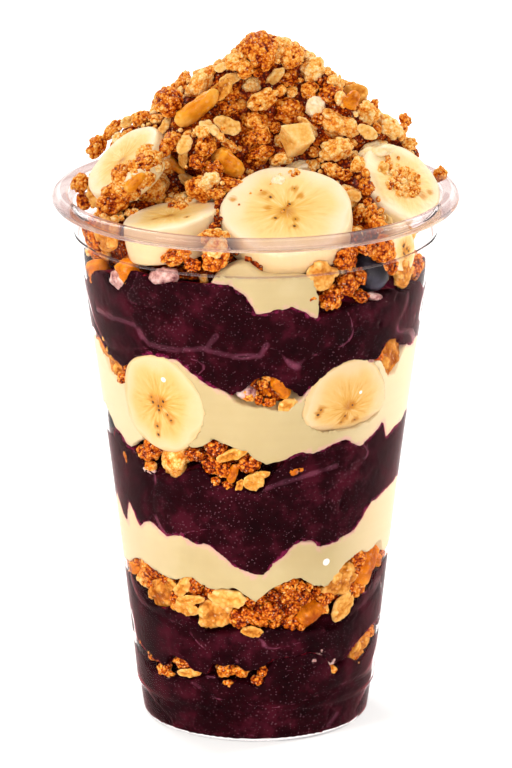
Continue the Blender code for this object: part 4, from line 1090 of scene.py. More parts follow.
def modelShape(kind, number, draw):
    # One shape of a kind: a ball is squeezed, granules are stuck on, and it is fused and roughened.
    facts = granolaKinds[kind]
    half = [side / 2 for side in facts["size"]]
    bpy.ops.object.select_all(action="DESELECT")
    if kind == "chunk":
        bpy.ops.mesh.primitive_cube_add(size=facts["size"][0] * mm)
    else:
        bpy.ops.mesh.primitive_ico_sphere_add(subdivisions=2 if kind == "crumb" else 4, radius=half[0] * mm)
    item = bpy.context.object
    bpy.ops.object.mode_set(mode="EDIT")
    bpy.ops.mesh.select_all(action="SELECT")
    if kind == "chunk":
        bpy.ops.transform.resize(value=(1.0, draw.uniform(0.75, 0.9), 0.8))
        bpy.ops.transform.vertex_random(offset=0.55 * half[0] * mm, seed=number + 3)
        bpy.ops.transform.rotate(value=0.7, orient_axis="X", center_override=(0, 0, 0))
        bpy.ops.transform.rotate(value=0.55, orient_axis="Y", center_override=(0, 0, 0))
        bpy.ops.mesh.bevel(offset=0.5 * mm, segments=3, affect="EDGES")
        bpy.ops.mesh.select_all(action="SELECT")
        bpy.ops.mesh.subdivide(number_cuts=3)
    else:
        share = ballShare.get(kind, 1.0)
        bpy.ops.transform.resize(value=[share * side / half[0] for side in half])
        bpy.ops.transform.vertex_random(offset=0.05 * half[0] * mm, seed=number)
    for i in range(facts["granules"]):
        turn = goldenTurn * i + draw.uniform(-0.3, 0.3)
        lift = 1.0 - 2.0 * (i + 0.5) / facts["granules"]
        flat = math.sqrt(1.0 - lift * lift)
        reach = draw.uniform(0.62, 0.86)
        radius = draw.uniform(*facts["granule"])
        out = (flat * math.cos(turn), flat * math.sin(turn), lift)
        centre = [reach * side * way * mm for side, way in zip(half, out)]
        bpy.ops.mesh.select_all(action="DESELECT")
        bpy.ops.mesh.primitive_ico_sphere_add(subdivisions=2, radius=radius * mm, location=centre)
    bpy.ops.object.mode_set(mode="OBJECT")
    if kind == "nut":
        # a nut has blunt ends, one of them narrower, and it is a little bent
        points = pointsOf(item)
        share = points[:, 0] / half[0]
        points[:, 1:] *= (np.sqrt(1.0 + share * share) * (1.0 - 0.12 * share))[:, None]
        points[:, 2] += 0.5 * share * share
        setPoints(item, points)
    if kind == "oat":
        # an oat flake is thin at its edge and has a crease along it
        points = pointsOf(item)
        points[:, 2] += 0.35 * (points[:, 0] / half[0]) ** 2 - 0.3 * np.exp(-(points[:, 1] / 0.5) ** 2)
        setPoints(item, points)
    if facts["voxel"]:
        applyModifier(item, "REMESH", mode="VOXEL", voxel_size=facts["voxel"] * mm)
    coarse = cloudTexture("lumps", facts["size"][0] * 0.28)
    fine = cloudTexture("grain", 0.75 if kind != "nut" else 1.6)
    shift = bpy.data.objects.new("shift", None)
    scene.collection.objects.link(shift)
    shift.location = (0.05 * number, 0.013 * number, 0.0)
    bpy.context.view_layer.update()
    rough = lumpShare.get(kind, 1.0)
    for texture, strength in ((coarse, facts["size"][0] * 0.11 * rough), (fine, facts["grain"] * 1.6)):
        applyModifier(item, "DISPLACE", texture=texture, texture_coords="OBJECT", texture_coords_object=shift,
                      strength=strength * mm, mid_level=0.5)
    bpy.data.objects.remove(shift)
    item.data.calc_loop_triangles()
    have = len(item.data.loop_triangles)
    if have > facts["triangles"]:
        applyModifier(item, "DECIMATE", ratio=facts["triangles"] / have)
    shape = readShape(item)
    bpy.data.objects.remove(item)
    return shape


def readShape(item):
    # Points in a box from -0.5 to 0.5, triangles, and a tone from 0 in the creases to 1 on the bumps, which
    # the granola colour uses as painted shade and painted highlight.
    mesh = item.data
    points = pointsOf(item)
    normals = normalsOf(item)
    mesh.calc_loop_triangles()
    triangles = np.empty(len(mesh.loop_triangles) * 3, dtype=np.int32)
    mesh.loop_triangles.foreach_get("vertices", triangles)
    triangles = triangles.reshape(-1, 3)
    edges = np.empty(len(mesh.edges) * 2, dtype=np.int32)
    mesh.edges.foreach_get("vertices", edges)
    edges = edges.reshape(-1, 2)
    smooth = points.copy()
    count = np.zeros(len(points))
    np.add.at(count, edges.ravel(), 1)
    for turn in range(7):
        total = np.zeros_like(points)
        np.add.at(total, edges[:, 0], smooth[edges[:, 1]])
        np.add.at(total, edges[:, 1], smooth[edges[:, 0]])
        smooth = 0.4 * smooth + 0.6 * total / np.maximum(count, 1)[:, None]
    relief = ((points - smooth) * normals).sum(1)
    relief = (relief - np.median(relief)) / (2.2 * relief.std() + 1e-9)
    low = points.min(0)
    size = points.max(0) - low
    return {"points": (points - low) / size - 0.5, "triangles": triangles,
            "tone": np.clip(0.5 + 0.5 * relief, 0.0, 1.0)}


shapeDraw = random.Random(7)
granolaShapes = {kind: [modelShape(kind, i, shapeDraw) for i in range(facts["shapes"])]
                 for kind, facts in granolaKinds.items()}


class Batch:
    # Copies that end up in one mesh for each kind.

    def __init__(self, name):
        self.name = name
        self.kinds = {}
        self.places = []

    def add(self, kind, shape, centre, axes, sizes, tint, into=None):
        # axes are the directions of length, width and thickness. No point comes nearer than into to the
        # outside of the cup, or without it nearer than the inside, and none rises over the solids.
        shape = granolaShapes[kind][shape % len(granolaShapes[kind])]
        turned = np.array([list(axis) for axis in axes])
        points = (shape["points"] * np.array(sizes)) @ turned + np.array(centre)
        most = wallRadius(points[:, 2]) - (cupSizes["wall"] + 0.05 if into is None else into)
        inCup = points[:, 2] < cupSizes["lipLow"] + 1.5
        moveToRadius(points, inCup & (radiusOf(points) > most), most)
        points[:, 2] = np.minimum(points[:, 2], cadBox[1][2] / mm)
        self.kinds.setdefault(kind, []).append((points, shape["triangles"], shape["tone"], tint))
        self.places.append((Vector(centre), max(sizes)))

    def finish(self, materials):
        for kind, copies in self.kinds.items():
            starts = np.cumsum([0] + [len(copy[0]) for copy in copies[:-1]])
            item = newPiece(
                self.name + "_" + kind + "s",
                np.concatenate([copy[0] for copy in copies]),
                np.concatenate([copy[1] + start for copy, start in zip(copies, starts)]),
                {"tone": np.concatenate([copy[2] for copy in copies]),
                 "tint": np.concatenate([np.full(len(copy[0]), copy[3]) for copy in copies])})
            handIn(item, "acai" if kind == "ice" else "granola", materials[kind])
            say(f"{item.name}: {len(copies)} copies, {len(item.data.polygons)} triangles")


def crunchMaterial(name, stops, roughness, coat, grainSize, grainShare, subsurface=0.0):
    # Baked granola: every grain has its own tone, with sugar crystals on it that are painted bright as their
    # glints.
    # Painted shade darkens the gaps between the grains and a piece's creases, and painted highlight lightens
    # its bumps.
    # The grains are drawn a little coarser than they are, so that they show.
    material, tree, shader = startMaterial(name, **{
        "Roughness": roughness, "IOR": 1.5, "Specular IOR Level": 0.06, "Coat Weight": coat,
        "Coat Roughness": 0.15, "Subsurface Weight": subsurface, "Subsurface Radius": (1.0, 0.5, 0.2),
        "Subsurface Scale": 0.8 * mm})
    place = addNode(tree, "TexCoord").outputs["Object"]
    grains = addNode(tree, "TexVoronoi", {"Scale": 1000.0 / grainSize}, {"Vector": place})
    own = addNode(tree, "SeparateColor", links={0: grains.outputs["Color"]})
    tone = addNode(tree, "Attribute", {"attribute_name": "tone"})
    tint = addNode(tree, "Attribute", {"attribute_name": "tint"})
    cloud = addNode(tree, "TexNoise", {"Scale": 1000.0 / (grainSize * 4.0), "Detail": 2.0}, {"Vector": place})
    # painted shade and painted highlight: tone is 0 in a piece's creases and 1 on its bumps
    shade = addNode(tree, "Math", {"operation": "MULTIPLY", 1: 0.46}, {0: tone.outputs["Fac"]})
    mixed = addNode(tree, "Math", {"operation": "MULTIPLY_ADD", 1: 0.6},
                    {0: tint.outputs["Fac"], 2: shade.outputs[0]})
    patches = addNode(tree, "MapRange", {"From Min": 0.3, "From Max": 0.7, "To Min": -0.1, "To Max": 0.1},
                      {"Value": cloud.outputs[0]})
    patched = addNode(tree, "Math", {"operation": "ADD"}, {0: mixed.outputs[0], 1: patches.outputs[0]})
    eachGrain = addNode(tree, "MapRange", {"To Min": -0.08 * grainShare, "To Max": 0.14 * grainShare},
                        {"Value": own.outputs[0]})
    grained = addNode(tree, "Math", {"operation": "ADD"}, {0: patched.outputs[0], 1: eachGrain.outputs[0]})
    # painted shade in the gaps between the grains
    between = addNode(tree, "MapRange", {"From Min": 0.2, "From Max": 0.75, "To Min": 0.08 * grainShare,
                                         "To Max": -0.16 * grainShare}, {"Value": grains.outputs["Distance"]})
    value = addNode(tree, "Math", {"operation": "ADD"}, {0: grained.outputs[0], 1: between.outputs[0]})
    ramp = addNode(tree, "ValToRGB", {"stops": stops}, {"Fac": value.outputs[0]})
    # sugar crystals, painted bright as their glints
    sugar = addNode(tree, "TexVoronoi", {"Scale": 1000.0 / (grainSize * 1.4)}, {"Vector": place})
    crystalGlint = addNode(tree, "MapRange", {"From Min": 0.1, "From Max": 0.26, "To Min": 0.5 * grainShare,
                                         "To Max": 0.0}, {"Value": sugar.outputs["Distance"]})
    sugarAndGlint = addNode(tree, "MixRGB", {2: "#ffeec2"}, {0: crystalGlint.outputs[0], 1: ramp.outputs[0]})
    tree.links.new(sugarAndGlint.outputs[0], shader.inputs["Base Color"])
    relief = addNode(tree, "Math", {"operation": "MULTIPLY", 1: -1.0}, {0: grains.outputs["Distance"]})
    bump = addNode(tree, "Bump", {"Strength": 0.9 * grainShare, "Distance": 0.4 * grainSize * mm},
                   {"Height": relief.outputs[0]})
    tree.links.new(bump.outputs[0], shader.inputs["Normal"])
    return material


caramelStops = ((0.03, "#540f00"), (0.17, "#9c3503"), (0.32, "#d56c0d"), (0.5, "#f2a03a"), (0.7, "#fdca75"),
                (1.0, "#fee8b2"))
nutStops = ((0.08, "#a34602"), (0.35, "#d9790a"), (0.6, "#f09c24"), (0.85, "#fabd58"))
oatStops = ((0.1, "#a4540f"), (0.35, "#d88c30"), (0.6, "#f0b860"), (0.9, "#fad795"))
crispStops = ((0.1, "#c98436"), (0.35, "#efc57a"), (0.6, "#fae0a8"), (0.9, "#fdeecb"))
# roughness, coat, size of a grain in mm, how strongly the grains show, and light under the surface
granolaMaterials = {
    "cluster": crunchMaterial("caramelGranola", caramelStops, 0.45, 0.08, 0.65, 1.0),
    "nugget": crunchMaterial("bakedGranola", caramelStops, 0.5, 0.05, 0.6, 1.0),
    "lump": crunchMaterial("sugaredGranola", caramelStops, 0.5, 0.05, 0.6, 1.0),
    "nut": crunchMaterial("roastedPeanut", nutStops, 0.35, 0.15, 1.6, 0.3, 0.1),
    "oat": crunchMaterial("toastedOat", oatStops, 0.5, 0.05, 0.9, 0.55, 0.1),
    "plate": crunchMaterial("cornFlakeCrisp", oatStops, 0.45, 0.1, 1.0, 0.7, 0.1),
    "chunk": crunchMaterial("candiedGinger", oatStops, 0.4, 0.1, 0.8, 0.5, 0.2),
    "crisp": crunchMaterial("puffedRice", crispStops, 0.5, 0.05, 0.9, 0.6, 0.1),
    "crumb": crunchMaterial("granolaCrumb", caramelStops, 0.5, 0.05, 0.7, 1.0),
}


def icyAcai():
    # Lumps of acai that froze again: pale pink ice with darker pulp in it.
    material, tree, shader = startMaterial("acaiIce", **{
        "Roughness": 0.3, "IOR": 1.31, "Subsurface Weight": 0.2, "Subsurface Radius": (1.0, 0.5, 0.4),
        "Subsurface Scale": 1.0 * mm})
    place = addNode(tree, "TexCoord").outputs["Object"]
    cloud = addNode(tree, "TexNoise", {"Scale": 420.0, "Detail": 4.0, "Roughness": 0.65}, {"Vector": place})
    colour = addNode(tree, "ValToRGB", {"stops": ((0.34, "#6b2631"), (0.5, "#c7968e"), (0.68, "#efdad0"))},
                     {"Fac": cloud.outputs[0]})
    tree.links.new(colour.outputs[0], shader.inputs["Base Color"])
    return material


granolaMaterials["ice"] = icyAcai()


coreLook = {
    "voxel": 0.8,                 # mm
    "crumbs": 1.6,                # size of the crumbs on it
    # painted shade: a low tone and tint keep the core dark in the gaps between the loose pieces
    "tone": 0.28,
    "tint": 0.02,
}


def makeCore(node, name, shrink, inset, crumble=1.6, rounding=2):
    # The crumbly middle under the loose pieces, from the node's own form, coloured dark as painted shade.
    item = mergedCopy(node, name)
    applyModifier(item, "REMESH", mode="VOXEL", voxel_size=coreLook["voxel"] * mm)
    applyModifier(item, "SMOOTH", factor=0.7, iterations=rounding)
    points = pointsOf(item) - normalsOf(item) * shrink
    most = wallRadius(points[:, 2]) - inset
    moveToRadius(points, radiusOf(points) > most, most)
    setPoints(item, points)
    crumbs = cloudTexture("crumble", coreLook["crumbs"])
    applyModifier(item, "DISPLACE", texture=crumbs, strength=crumble * mm, mid_level=0.6)
    for label in ("tone", "tint"):
        setAttribute(item, label, np.full(len(item.data.vertices), coreLook[label]))
    smoothShade(item)
    handIn(item, "granola", granolaMaterials["crumb"], node)
    return item


say("granola heap")

# Pieces seen in the photograph: kind, middle x and y in its pixels, length, width, turn from level, tint
heapPieces = [
    ("cluster", 259, 52, 43, 42, 20, 0.2), ("cluster", 292, 55, 31, 27, 60, 0.45),
    ("lump", 313, 69, 28, 24, 40, 0.85), ("cluster", 236, 62, 26, 20, 10, 0.55),
    ("oat", 221, 68, 14, 10, 20, 0.9), ("oat", 230, 79, 24, 12, 15, 0.75),
    ("lump", 253, 84, 24, 18, 0, 0.8), ("cluster", 263, 100, 36, 21, 25, 0.5),
    ("oat", 275, 76, 26, 13, 50, 0.7), ("cluster", 286, 77, 27, 23, 0, 0.05),
    ("lump", 292, 92, 13, 12, 30, 0.7), ("lump", 309, 90, 19, 18, 70, 0.35),
    ("nut", 198, 108, 54, 19, 37, 0.6), ("lump", 200, 84, 38, 22, 45, 0.7),
    ("cluster", 169, 102, 32, 30, 70, 0.15), ("cluster", 184, 80, 21, 13, 70, 0.4),
    ("cluster", 229, 94, 24, 20, 0, 0.2), ("cluster", 228, 107, 25, 19, 10, 0.15),
    ("cluster", 255, 122, 33, 24, -10, 0.35), ("oat", 227, 126, 31, 18, -22, 0.7),
    ("lump", 200, 131, 14, 12, 0, 0.75), ("oat", 165, 126, 23, 10, 60, 0.8),
    ("lump", 157, 119, 14, 11, 0, 0.6), ("cluster", 141, 118, 22, 16, 20, 0.35),
    ("plate", 127, 122, 16, 12, 40, 0.85), ("cluster", 113, 130, 28, 13, 35, 0.4),
    ("cluster", 97, 147, 26, 19, 55, 0.3), ("cluster", 146, 162, 34, 18, 25, 0.2),
    ("cluster", 172, 141, 26, 23, 30, 0.2), ("oat", 185, 145, 22, 15, 60, 0.75),
    ("lump", 203, 132, 14, 13, 0, 0.6), ("cluster", 206, 145, 30, 22, 70, 0.25),
    ("nut", 174, 164, 31, 10, -45, 0.6), ("cluster", 197, 162, 18, 16, 0, 0.05),
    ("oat", 190, 182, 27, 13, -30, 0.75), ("lump", 155, 190, 36, 27, 80, 0.5),
    ("nut", 135, 182, 26, 13, 42, 0.55), ("cluster", 120, 174, 22, 18, 60, 0.2),
    ("cluster", 116, 199, 46, 29, 30, 0.15), ("crumb", 115, 219, 10, 9, 0, 0.9),
    ("crumb", 106, 196, 7, 6, 0, 0.9), ("cluster", 80, 183, 22, 19, 70, 0.35),
    ("cluster", 83, 201, 24, 20, 0, 0.15), ("nut", 228, 163, 37, 23, -36, 0.65),
    ("cluster", 213, 170, 23, 21, 0, 0.1), ("cluster", 229, 146, 20, 12, -30, 0.5),
    ("cluster", 259, 155, 36, 22, 30, 0.2), ("lump", 281, 159, 25, 13, 10, 0.7),
    ("chunk", 295, 137, 40, 36, 60, 0.7), ("cluster", 275, 128, 14, 12, 0, 0.3),
    ("cluster", 250, 139, 18, 16, 0, 0.1), ("cluster", 229, 186, 36, 18, 0, 0.2),
    ("lump", 182, 200, 20, 18, 40, 0.8), ("lump", 250, 173, 9, 8, 0, 0.6),
    ("cluster", 216, 194, 20, 12, 0, 0.25), ("cluster", 212, 235, 30, 13, 5, 0.5),
    ("crisp", 315, 107, 24, 22, 100, 0.9), ("cluster", 288, 111, 33, 28, 0, 0.25),
    ("cluster", 338, 123, 48, 32, -25, 0.6), ("cluster", 332, 95, 30, 22, -20, 0.1),
    ("nut", 352, 100, 20, 15, 60, 0.25), ("cluster", 353, 88, 20, 12, -10, 0.45),
    ("lump", 333, 80, 13, 11, 0, 0.8), ("cluster", 368, 114, 27, 24, -30, 0.6),
    ("cluster", 373, 106, 17, 12, 60, 0.3), ("cluster", 389, 127, 32, 22, -25, 0.85),
    ("cluster", 403, 129, 14, 10, 60, 0.3), ("oat", 367, 132, 23, 14, -30, 0.8),
    ("cluster", 336, 150, 36, 24, 10, 0.65), ("lump", 374, 149, 31, 17, 15, 0.95),
    ("lump", 315, 152, 13, 12, 0, 0.4), ("lump", 314, 164, 14, 10, 0, 0.7),
    ("cluster", 333, 170, 21, 15, -40, 0.45), ("cluster", 345, 175, 16, 13, 0, 0.2),
    ("oat", 354, 196, 17, 13, -20, 0.75), ("cluster", 359, 214, 19, 15, 80, 0.15),
    ("cluster", 371, 214, 24, 16, 75, 0.25), ("oat", 385, 218, 21, 12, -60, 0.8),
    ("cluster", 440, 177, 24, 14, 80, 0.4), ("cluster", 410, 144, 17, 13, 0, 0.55),
    ("cluster", 405, 120, 15, 12, -60, 0.35), ("cluster", 320, 118, 18, 14, 0, 0.3),
    ("cluster", 350, 143, 16, 12, 0, 0.5),
    # crumbs on the slices
    ("crisp", 278, 181, 15, 14, 20, 0.9), ("crisp", 299, 168, 32, 16, 10, 0.9),
    ("crisp", 275, 168, 12, 10, 0, 0.9), ("crisp", 377, 151, 40, 16, 15, 0.9),
    ("plate", 383, 170, 18, 12, 60, 0.6), ("crisp", 374, 148, 24, 14, 0, 0.8),
    ("nugget", 162, 150, 22, 18, 60, 0.3), ("nugget", 165, 168, 22, 18, 20, 0.4),
    ("nugget", 160, 184, 20, 16, 0, 0.2), ("nugget", 146, 178, 22, 18, 40, 0.45),
    ("nugget", 147, 194, 20, 16, 0, 0.35), ("nugget", 145, 152, 24, 18, 30, 0.5),
    ("nugget", 136, 166, 22, 18, 10, 0.35), ("nugget", 122, 179, 20, 18, 50, 0.3),
    ("nugget", 132, 192, 24, 18, 20, 0.3), ("nugget", 110, 190, 18, 16, 0, 0.2),
    ("nugget", 153, 158, 20, 16, 0, 0.45), ("crisp", 205, 198, 28, 13, -8, 0.9),
]
# heaps of crumbs: middle in pixels, half width and height, how many, size range in pixels
crumbHeaps = (
    ((404, 183), (17, 14), 46, (4, 10)), ((392, 166), (14, 9), 14, (3, 8)),
    ((180, 201), (12, 8), 24, (4, 10)), ((134, 172), (20, 16), 30, (4, 9)),
    ((112, 208), (24, 12), 22, (4, 9)), ((290, 172), (16, 6), 8, (3, 5)),
    ((270, 198), (36, 24), 6, (2, 3)), ((320, 165), (14, 6), 10, (3, 7)),
    ((372, 212), (12, 12), 14, (4, 9)), ((288, 286), (11, 6), 12, (3, 6)),
    ((150, 172), (16, 20), 26, (6, 14)), ((128, 190), (18, 10), 14, (6, 12)),
)
# upper edge of the heap in the photograph, in its pixels, which no loose piece crosses
heapEdge = (
    (60, 200), (86, 150), (98, 133), (128, 117), (146, 108), (158, 92), (188, 72), (218, 63), (232, 50),
    (248, 33), (262, 30), (276, 36), (296, 38), (306, 50), (322, 57), (340, 78), (362, 84), (370, 100),
    (384, 116), (400, 123), (414, 143), (430, 160), (446, 170), (456, 200))

# The same as heapPieces for what shows through the wall
wallPieces = [
    # under the lip
    ("cluster", 84, 235, 21, 13, 80, 0.5), ("plate", 100, 237, 25, 22, 60, 0.6),
    ("nut", 120, 274, 27, 14, -62, 0.6), ("nut", 88, 273, 26, 8, -75, 0.6),
    ("cluster", 170, 259, 32, 19, 15, 0.55), ("cluster", 190, 267, 18, 15, 0, 0.3),
    ("lump", 213, 262, 29, 22, 15, 0.5), ("cluster", 353, 261, 27, 22, 30, 0.4),
    ("plate", 323, 278, 33, 28, 50, 0.8), ("cluster", 354, 286, 28, 20, 70, 0.35),
    ("cluster", 366, 298, 16, 14, 0, 0.3), ("cluster", 336, 300, 30, 21, 65, 0.45),
    ("cluster", 391, 253, 27, 19, 30, 0.5), ("cluster", 372, 250, 17, 14, 0, 0.45),
    ("plate", 409, 275, 30, 15, 65, 0.65), ("cluster", 424, 266, 30, 10, 75, 0.45),
    ("nut", 420, 324, 14, 5, 80, 0.5), ("crumb", 314, 299, 12, 10, 0, 0.4),
    ("nugget", 364, 280, 18, 16, 30, 0.45), ("nugget", 396, 268, 16, 20, 0, 0.4),
    ("ice", 113, 283, 16, 18, 70, 0.5), ("ice", 158, 280, 32, 20, 10, 0.5),
    ("ice", 384, 300, 26, 10, -20, 0.5),
    # upper pockets above the cream
    ("ice", 245, 394, 22, 14, -10, 0.5), ("ice", 372, 361, 9, 8, 0, 0.5), ("ice", 324, 652, 12, 9, 0, 0.5),
    ("ice", 334, 661, 10, 8, 30, 0.5), ("ice", 315, 661, 8, 8, 0, 0.5), ("ice", 145, 471, 14, 8, -20, 0.5),
    ("plate", 101, 345, 30, 9, -75, 0.55), ("plate", 110, 366, 26, 16, -60, 0.6),
    ("cluster", 117, 380, 18, 11, -65, 0.5), ("lump", 247, 396, 22, 15, -15, 0.75),
    ("lump", 263, 386, 12, 11, 0, 0.6), ("nut", 282, 389, 25, 17, -55, 0.45),
    ("oat", 289, 407, 21, 16, 10, 0.85), ("lump", 270, 404, 15, 10, 20, 0.5),
    ("plate", 396, 358, 50, 20, 68, 0.45),
    # left band under the cream
    ("cluster", 144, 451, 26, 24, 30, 0.5), ("lump", 169, 462, 37, 28, 75, 0.95),
    ("cluster", 190, 456, 22, 14, 0, 0.3), ("cluster", 213, 450, 26, 20, -15, 0.35),
    ("oat", 232, 456, 35, 12, 20, 0.75), ("cluster", 210, 468, 24, 17, -20, 0.15),
    ("cluster", 222, 472, 18, 16, 0, 0.25), ("nut", 232, 475, 19, 10, 72, 0.4),
    ("lump", 214, 483, 10, 9, 0, 0.6), ("lump", 226, 487, 11, 10, 0, 0.45),
    ("oat", 239, 487, 15, 8, 70, 0.6), ("oat", 254, 483, 23, 18, 20, 0.75),
    ("cluster", 249, 466, 25, 19, 0, 0.35), ("oat", 260, 477, 22, 9, 15, 0.75),
    ("nut", 298, 471, 19, 13, 20, 0.35), ("nut", 124, 457, 14, 6, -75, 0.5),
    ("crumb", 145, 467, 12, 8, -20, 0.8),
    # thick band
    ("cluster", 142, 569, 30, 20, -55, 0.55), ("nut", 130, 568, 14, 6, -75, 0.5),
    ("plate", 156, 595, 27, 23, 70, 0.45), ("cluster", 163, 580, 18, 14, -70, 0.4),
    ("oat", 168, 585, 15, 9, -50, 0.6), ("cluster", 171, 599, 16, 10, 80, 0.45),
    ("oat", 181, 587, 28, 14, 58, 0.9), ("cluster", 193, 586, 22, 14, 80, 0.1),
    ("cluster", 209, 593, 14, 12, 0, 0.15), ("oat", 226, 600, 41, 19, -10, 0.95),
    ("oat", 188, 601, 29, 10, 3, 0.75), ("oat", 184, 610, 27, 14, -12, 0.8),
    ("plate", 211, 616, 38, 33, 30, 0.72), ("cluster", 241, 620, 26, 24, 0, 0.35),
    ("cluster", 255, 621, 34, 14, -28, 0.45), ("oat", 252, 633, 23, 12, -10, 0.6),
    ("cluster", 272, 614, 26, 21, -25, 0.45), ("cluster", 289, 588, 26, 14, 20, 0.5),
    ("cluster", 291, 598, 20, 12, 40, 0.5), ("cluster", 303, 599, 23, 16, -20, 0.15),
    ("cluster", 295, 611, 18, 16, 0, 0.1), ("lump", 303, 588, 11, 9, 60, 0.5),
    ("nut", 314, 615, 30, 19, 35, 0.25), ("lump", 303, 627, 10, 9, 30, 0.5),
    ("plate", 345, 582, 42, 27, 25, 0.65), ("oat", 346, 608, 32, 18, 52, 0.9),
    ("cluster", 366, 559, 22, 12, 80, 0.5), ("nut", 374, 565, 44, 12, 68, 0.5),
    ("cluster", 328, 600, 20, 14, 30, 0.2), ("nut", 382, 560, 14, 5, 75, 0.5),
    # thin strip at the bottom
    ("cluster", 178, 663, 17, 15, 0, 0.5), ("oat", 187, 674, 25, 9, 0, 0.8),
    ("lump", 223, 671, 20, 17, 10, 0.55), ("lump", 240, 673, 18, 14, -10, 0.6),
    ("lump", 227, 686, 12, 9, 0, 0.55), ("lump", 263, 673, 12, 10, 60, 0.35),
    ("lump", 258, 682, 14, 10, -20, 0.45), ("cluster", 149, 655, 14, 8, -60, 0.55),
    ("cluster", 158, 671, 17, 10, -60, 0.6), ("cluster", 139, 641, 11, 5, -70, 0.5),
    ("lump", 166, 675, 8, 6, 0, 0.6), ("plate", 366, 648, 34, 13, 55, 0.55),
    ("cluster", 361, 661, 12, 6, 75, 0.5), ("cluster", 374, 631, 16, 6, 75, 0.5),
    ("crumb", 335, 670, 13, 9, -30, 0.95),
]
# how far behind the surface a piece sits, as a share of its thickness
sinkShare = {"chunk": -0.25, "crumb": -0.1, "oat": -0.2, "plate": -0.1, "nut": 0.0}
# thickness as a share of the middle of length and width
thickShare = {"cluster": 0.85, "nugget": 0.85, "lump": 0.9, "nut": 0.9, "oat": 0.4, "plate": 0.42,
              "chunk": 0.85, "crumb": 0.9, "crisp": 0.6, "ice": 0.7}

rightWay, upWay, backWay = screenAxes()
heapNodes = ["granola_heap", "banana_front", "banana_right", "banana_left_back", "banana_left_front"]
heapTree = nodeTree(*heapNodes)
coreTree = nodeTree("granola_heap")
sliceTree = nodeTree(*heapNodes[1:], "banana_low_right", "blueberry", "cream_top")


def pixelsPerMm(place):
    return view["focal"] / (Vector(place) - Vector(view["location"])).dot(-backWay)


def screenTurn(turn):
    # Length and width directions on the screen for a turn in degrees.
    angle = math.radians(turn)
    return (math.cos(angle), math.sin(angle)), (-math.sin(angle), math.cos(angle))


def placeOnHeap(batch, number, kind, x, y, length, width, turn, tint):
    # Lays a piece on the heap or a slice where its pixel shows.
    start, way = pixelRay((x, y))
    hit, normal = heapTree.ray_cast(start, way)[:2]
    if hit is None:
        # the line of sight just misses the solid, so the piece sits where it passes nearest to it
        reaches = [start + way * reach for reach in np.arange(1500.0, 1640.0, 2.0)]
        hit = min(reaches, key=lambda point: coreTree.find_nearest(point)[3])
        normal = coreTree.find_nearest(hit)[1]
    scale = 1.0 / pixelsPerMm(hit)
    sizes = [length * scale, width * scale]
    sizes.append(math.sqrt(sizes[0] * sizes[1]) * thickShare[kind])
    face = (backWay * 0.7 + normal * 0.5).normalized()
    along, across = screenTurn(turn)
    longWay = rightWay * along[0] + upWay * along[1]
    longWay = (longWay - face * longWay.dot(face)).normalized()
    centre = hit + way * sizes[2] * sinkShare.get(kind, 0.1)
    batch.add(kind, number, centre, (longWay, face.cross(longWay), face), sizes, tint)


wallPlace = {
    "shade": 0.34,                # granola at the plastic gets less light, so its tints are lowered by this
    "longest": 13.0,              # mm
    "thickest": 6.0,
    "lean": 0.12,                 # the wall's slope
    "middle": 0.42,               # depth of a piece's middle, as a share of its thickness
    "pressed": 0.2,               # how far a piece is pressed into the inside of the wall
    "into": 0.32,                 # how near its flattened side comes to the outside of the wall
}


def placeOnWall(batch, number, kind, x, y, length, width, turn, tint):
    # Presses a piece to the inside of the wall where its pixel shows.
    start, way = pixelRay((x, y))
    hit = cupTree.ray_cast(start, way)[0]
    if hit is None:
        return
    outward = Vector((hit.x, hit.y, 0)).normalized()
    level = Vector((-outward.y, outward.x, 0))
    upright = (Vector((0, 0, 1)) + outward * wallPlace["lean"]).normalized()
    face = level.cross(upright).normalized()
    if face.dot(outward) < 0:
        face = -face
    # directions on the screen turned into directions along the wall, with their foreshortening
    columns = Matrix(((level.dot(rightWay), upright.dot(rightWay)), (level.dot(upWay), upright.dot(upWay))))
    inverse = columns.inverted()
    scale = 1.0 / pixelsPerMm(hit)
    ways = []
    sizes = []
    for pair, size in zip(screenTurn(turn), (length, width)):
        on = inverse @ Vector(pair)
        ways.append(level * on[0] + upright * on[1])
        sizes.append(min(size * scale * ways[-1].length, wallPlace["longest"]))
    longWay = ways[0].normalized()
    sizes.append(min(math.sqrt(sizes[0] * sizes[1]) * thickShare[kind], wallPlace["thickest"]))
    centre = hit - outward * (cupSizes["wall"] + sizes[2] * wallPlace["middle"] - wallPlace["pressed"])
    batch.add(kind, number, centre, (longWay, face.cross(longWay), face), sizes,
              max(tint - wallPlace["shade"], 0.0), into=wallPlace["into"])


def pixelOf(place):
    # Pixel of the photograph in which a place shows.
    away = Vector(place) - Vector(view["location"])
    depth = away.dot(-backWay)
    return (view["middle"][0] + view["focal"] * away.dot(rightWay) / depth,
            view["middle"][1] - view["focal"] * away.dot(upWay) / depth)


def underEdge(centre, size):
    # The centre, lowered where the piece would cross the upper edge of the heap.
    x, y = pixelOf(centre)
    reach = size * 0.5 * pixelsPerMm(centre)
    aside, less = 0.7 * reach, 0.3 * reach
    edge = np.interp((x - aside, x, x + aside), *zip(*heapEdge))
    top = max(edge + (-less, 0.0, -less))
    over = top + reach - y
    return centre - Vector((0, 0, max(over, 0.0) / pixelsPerMm(centre)))


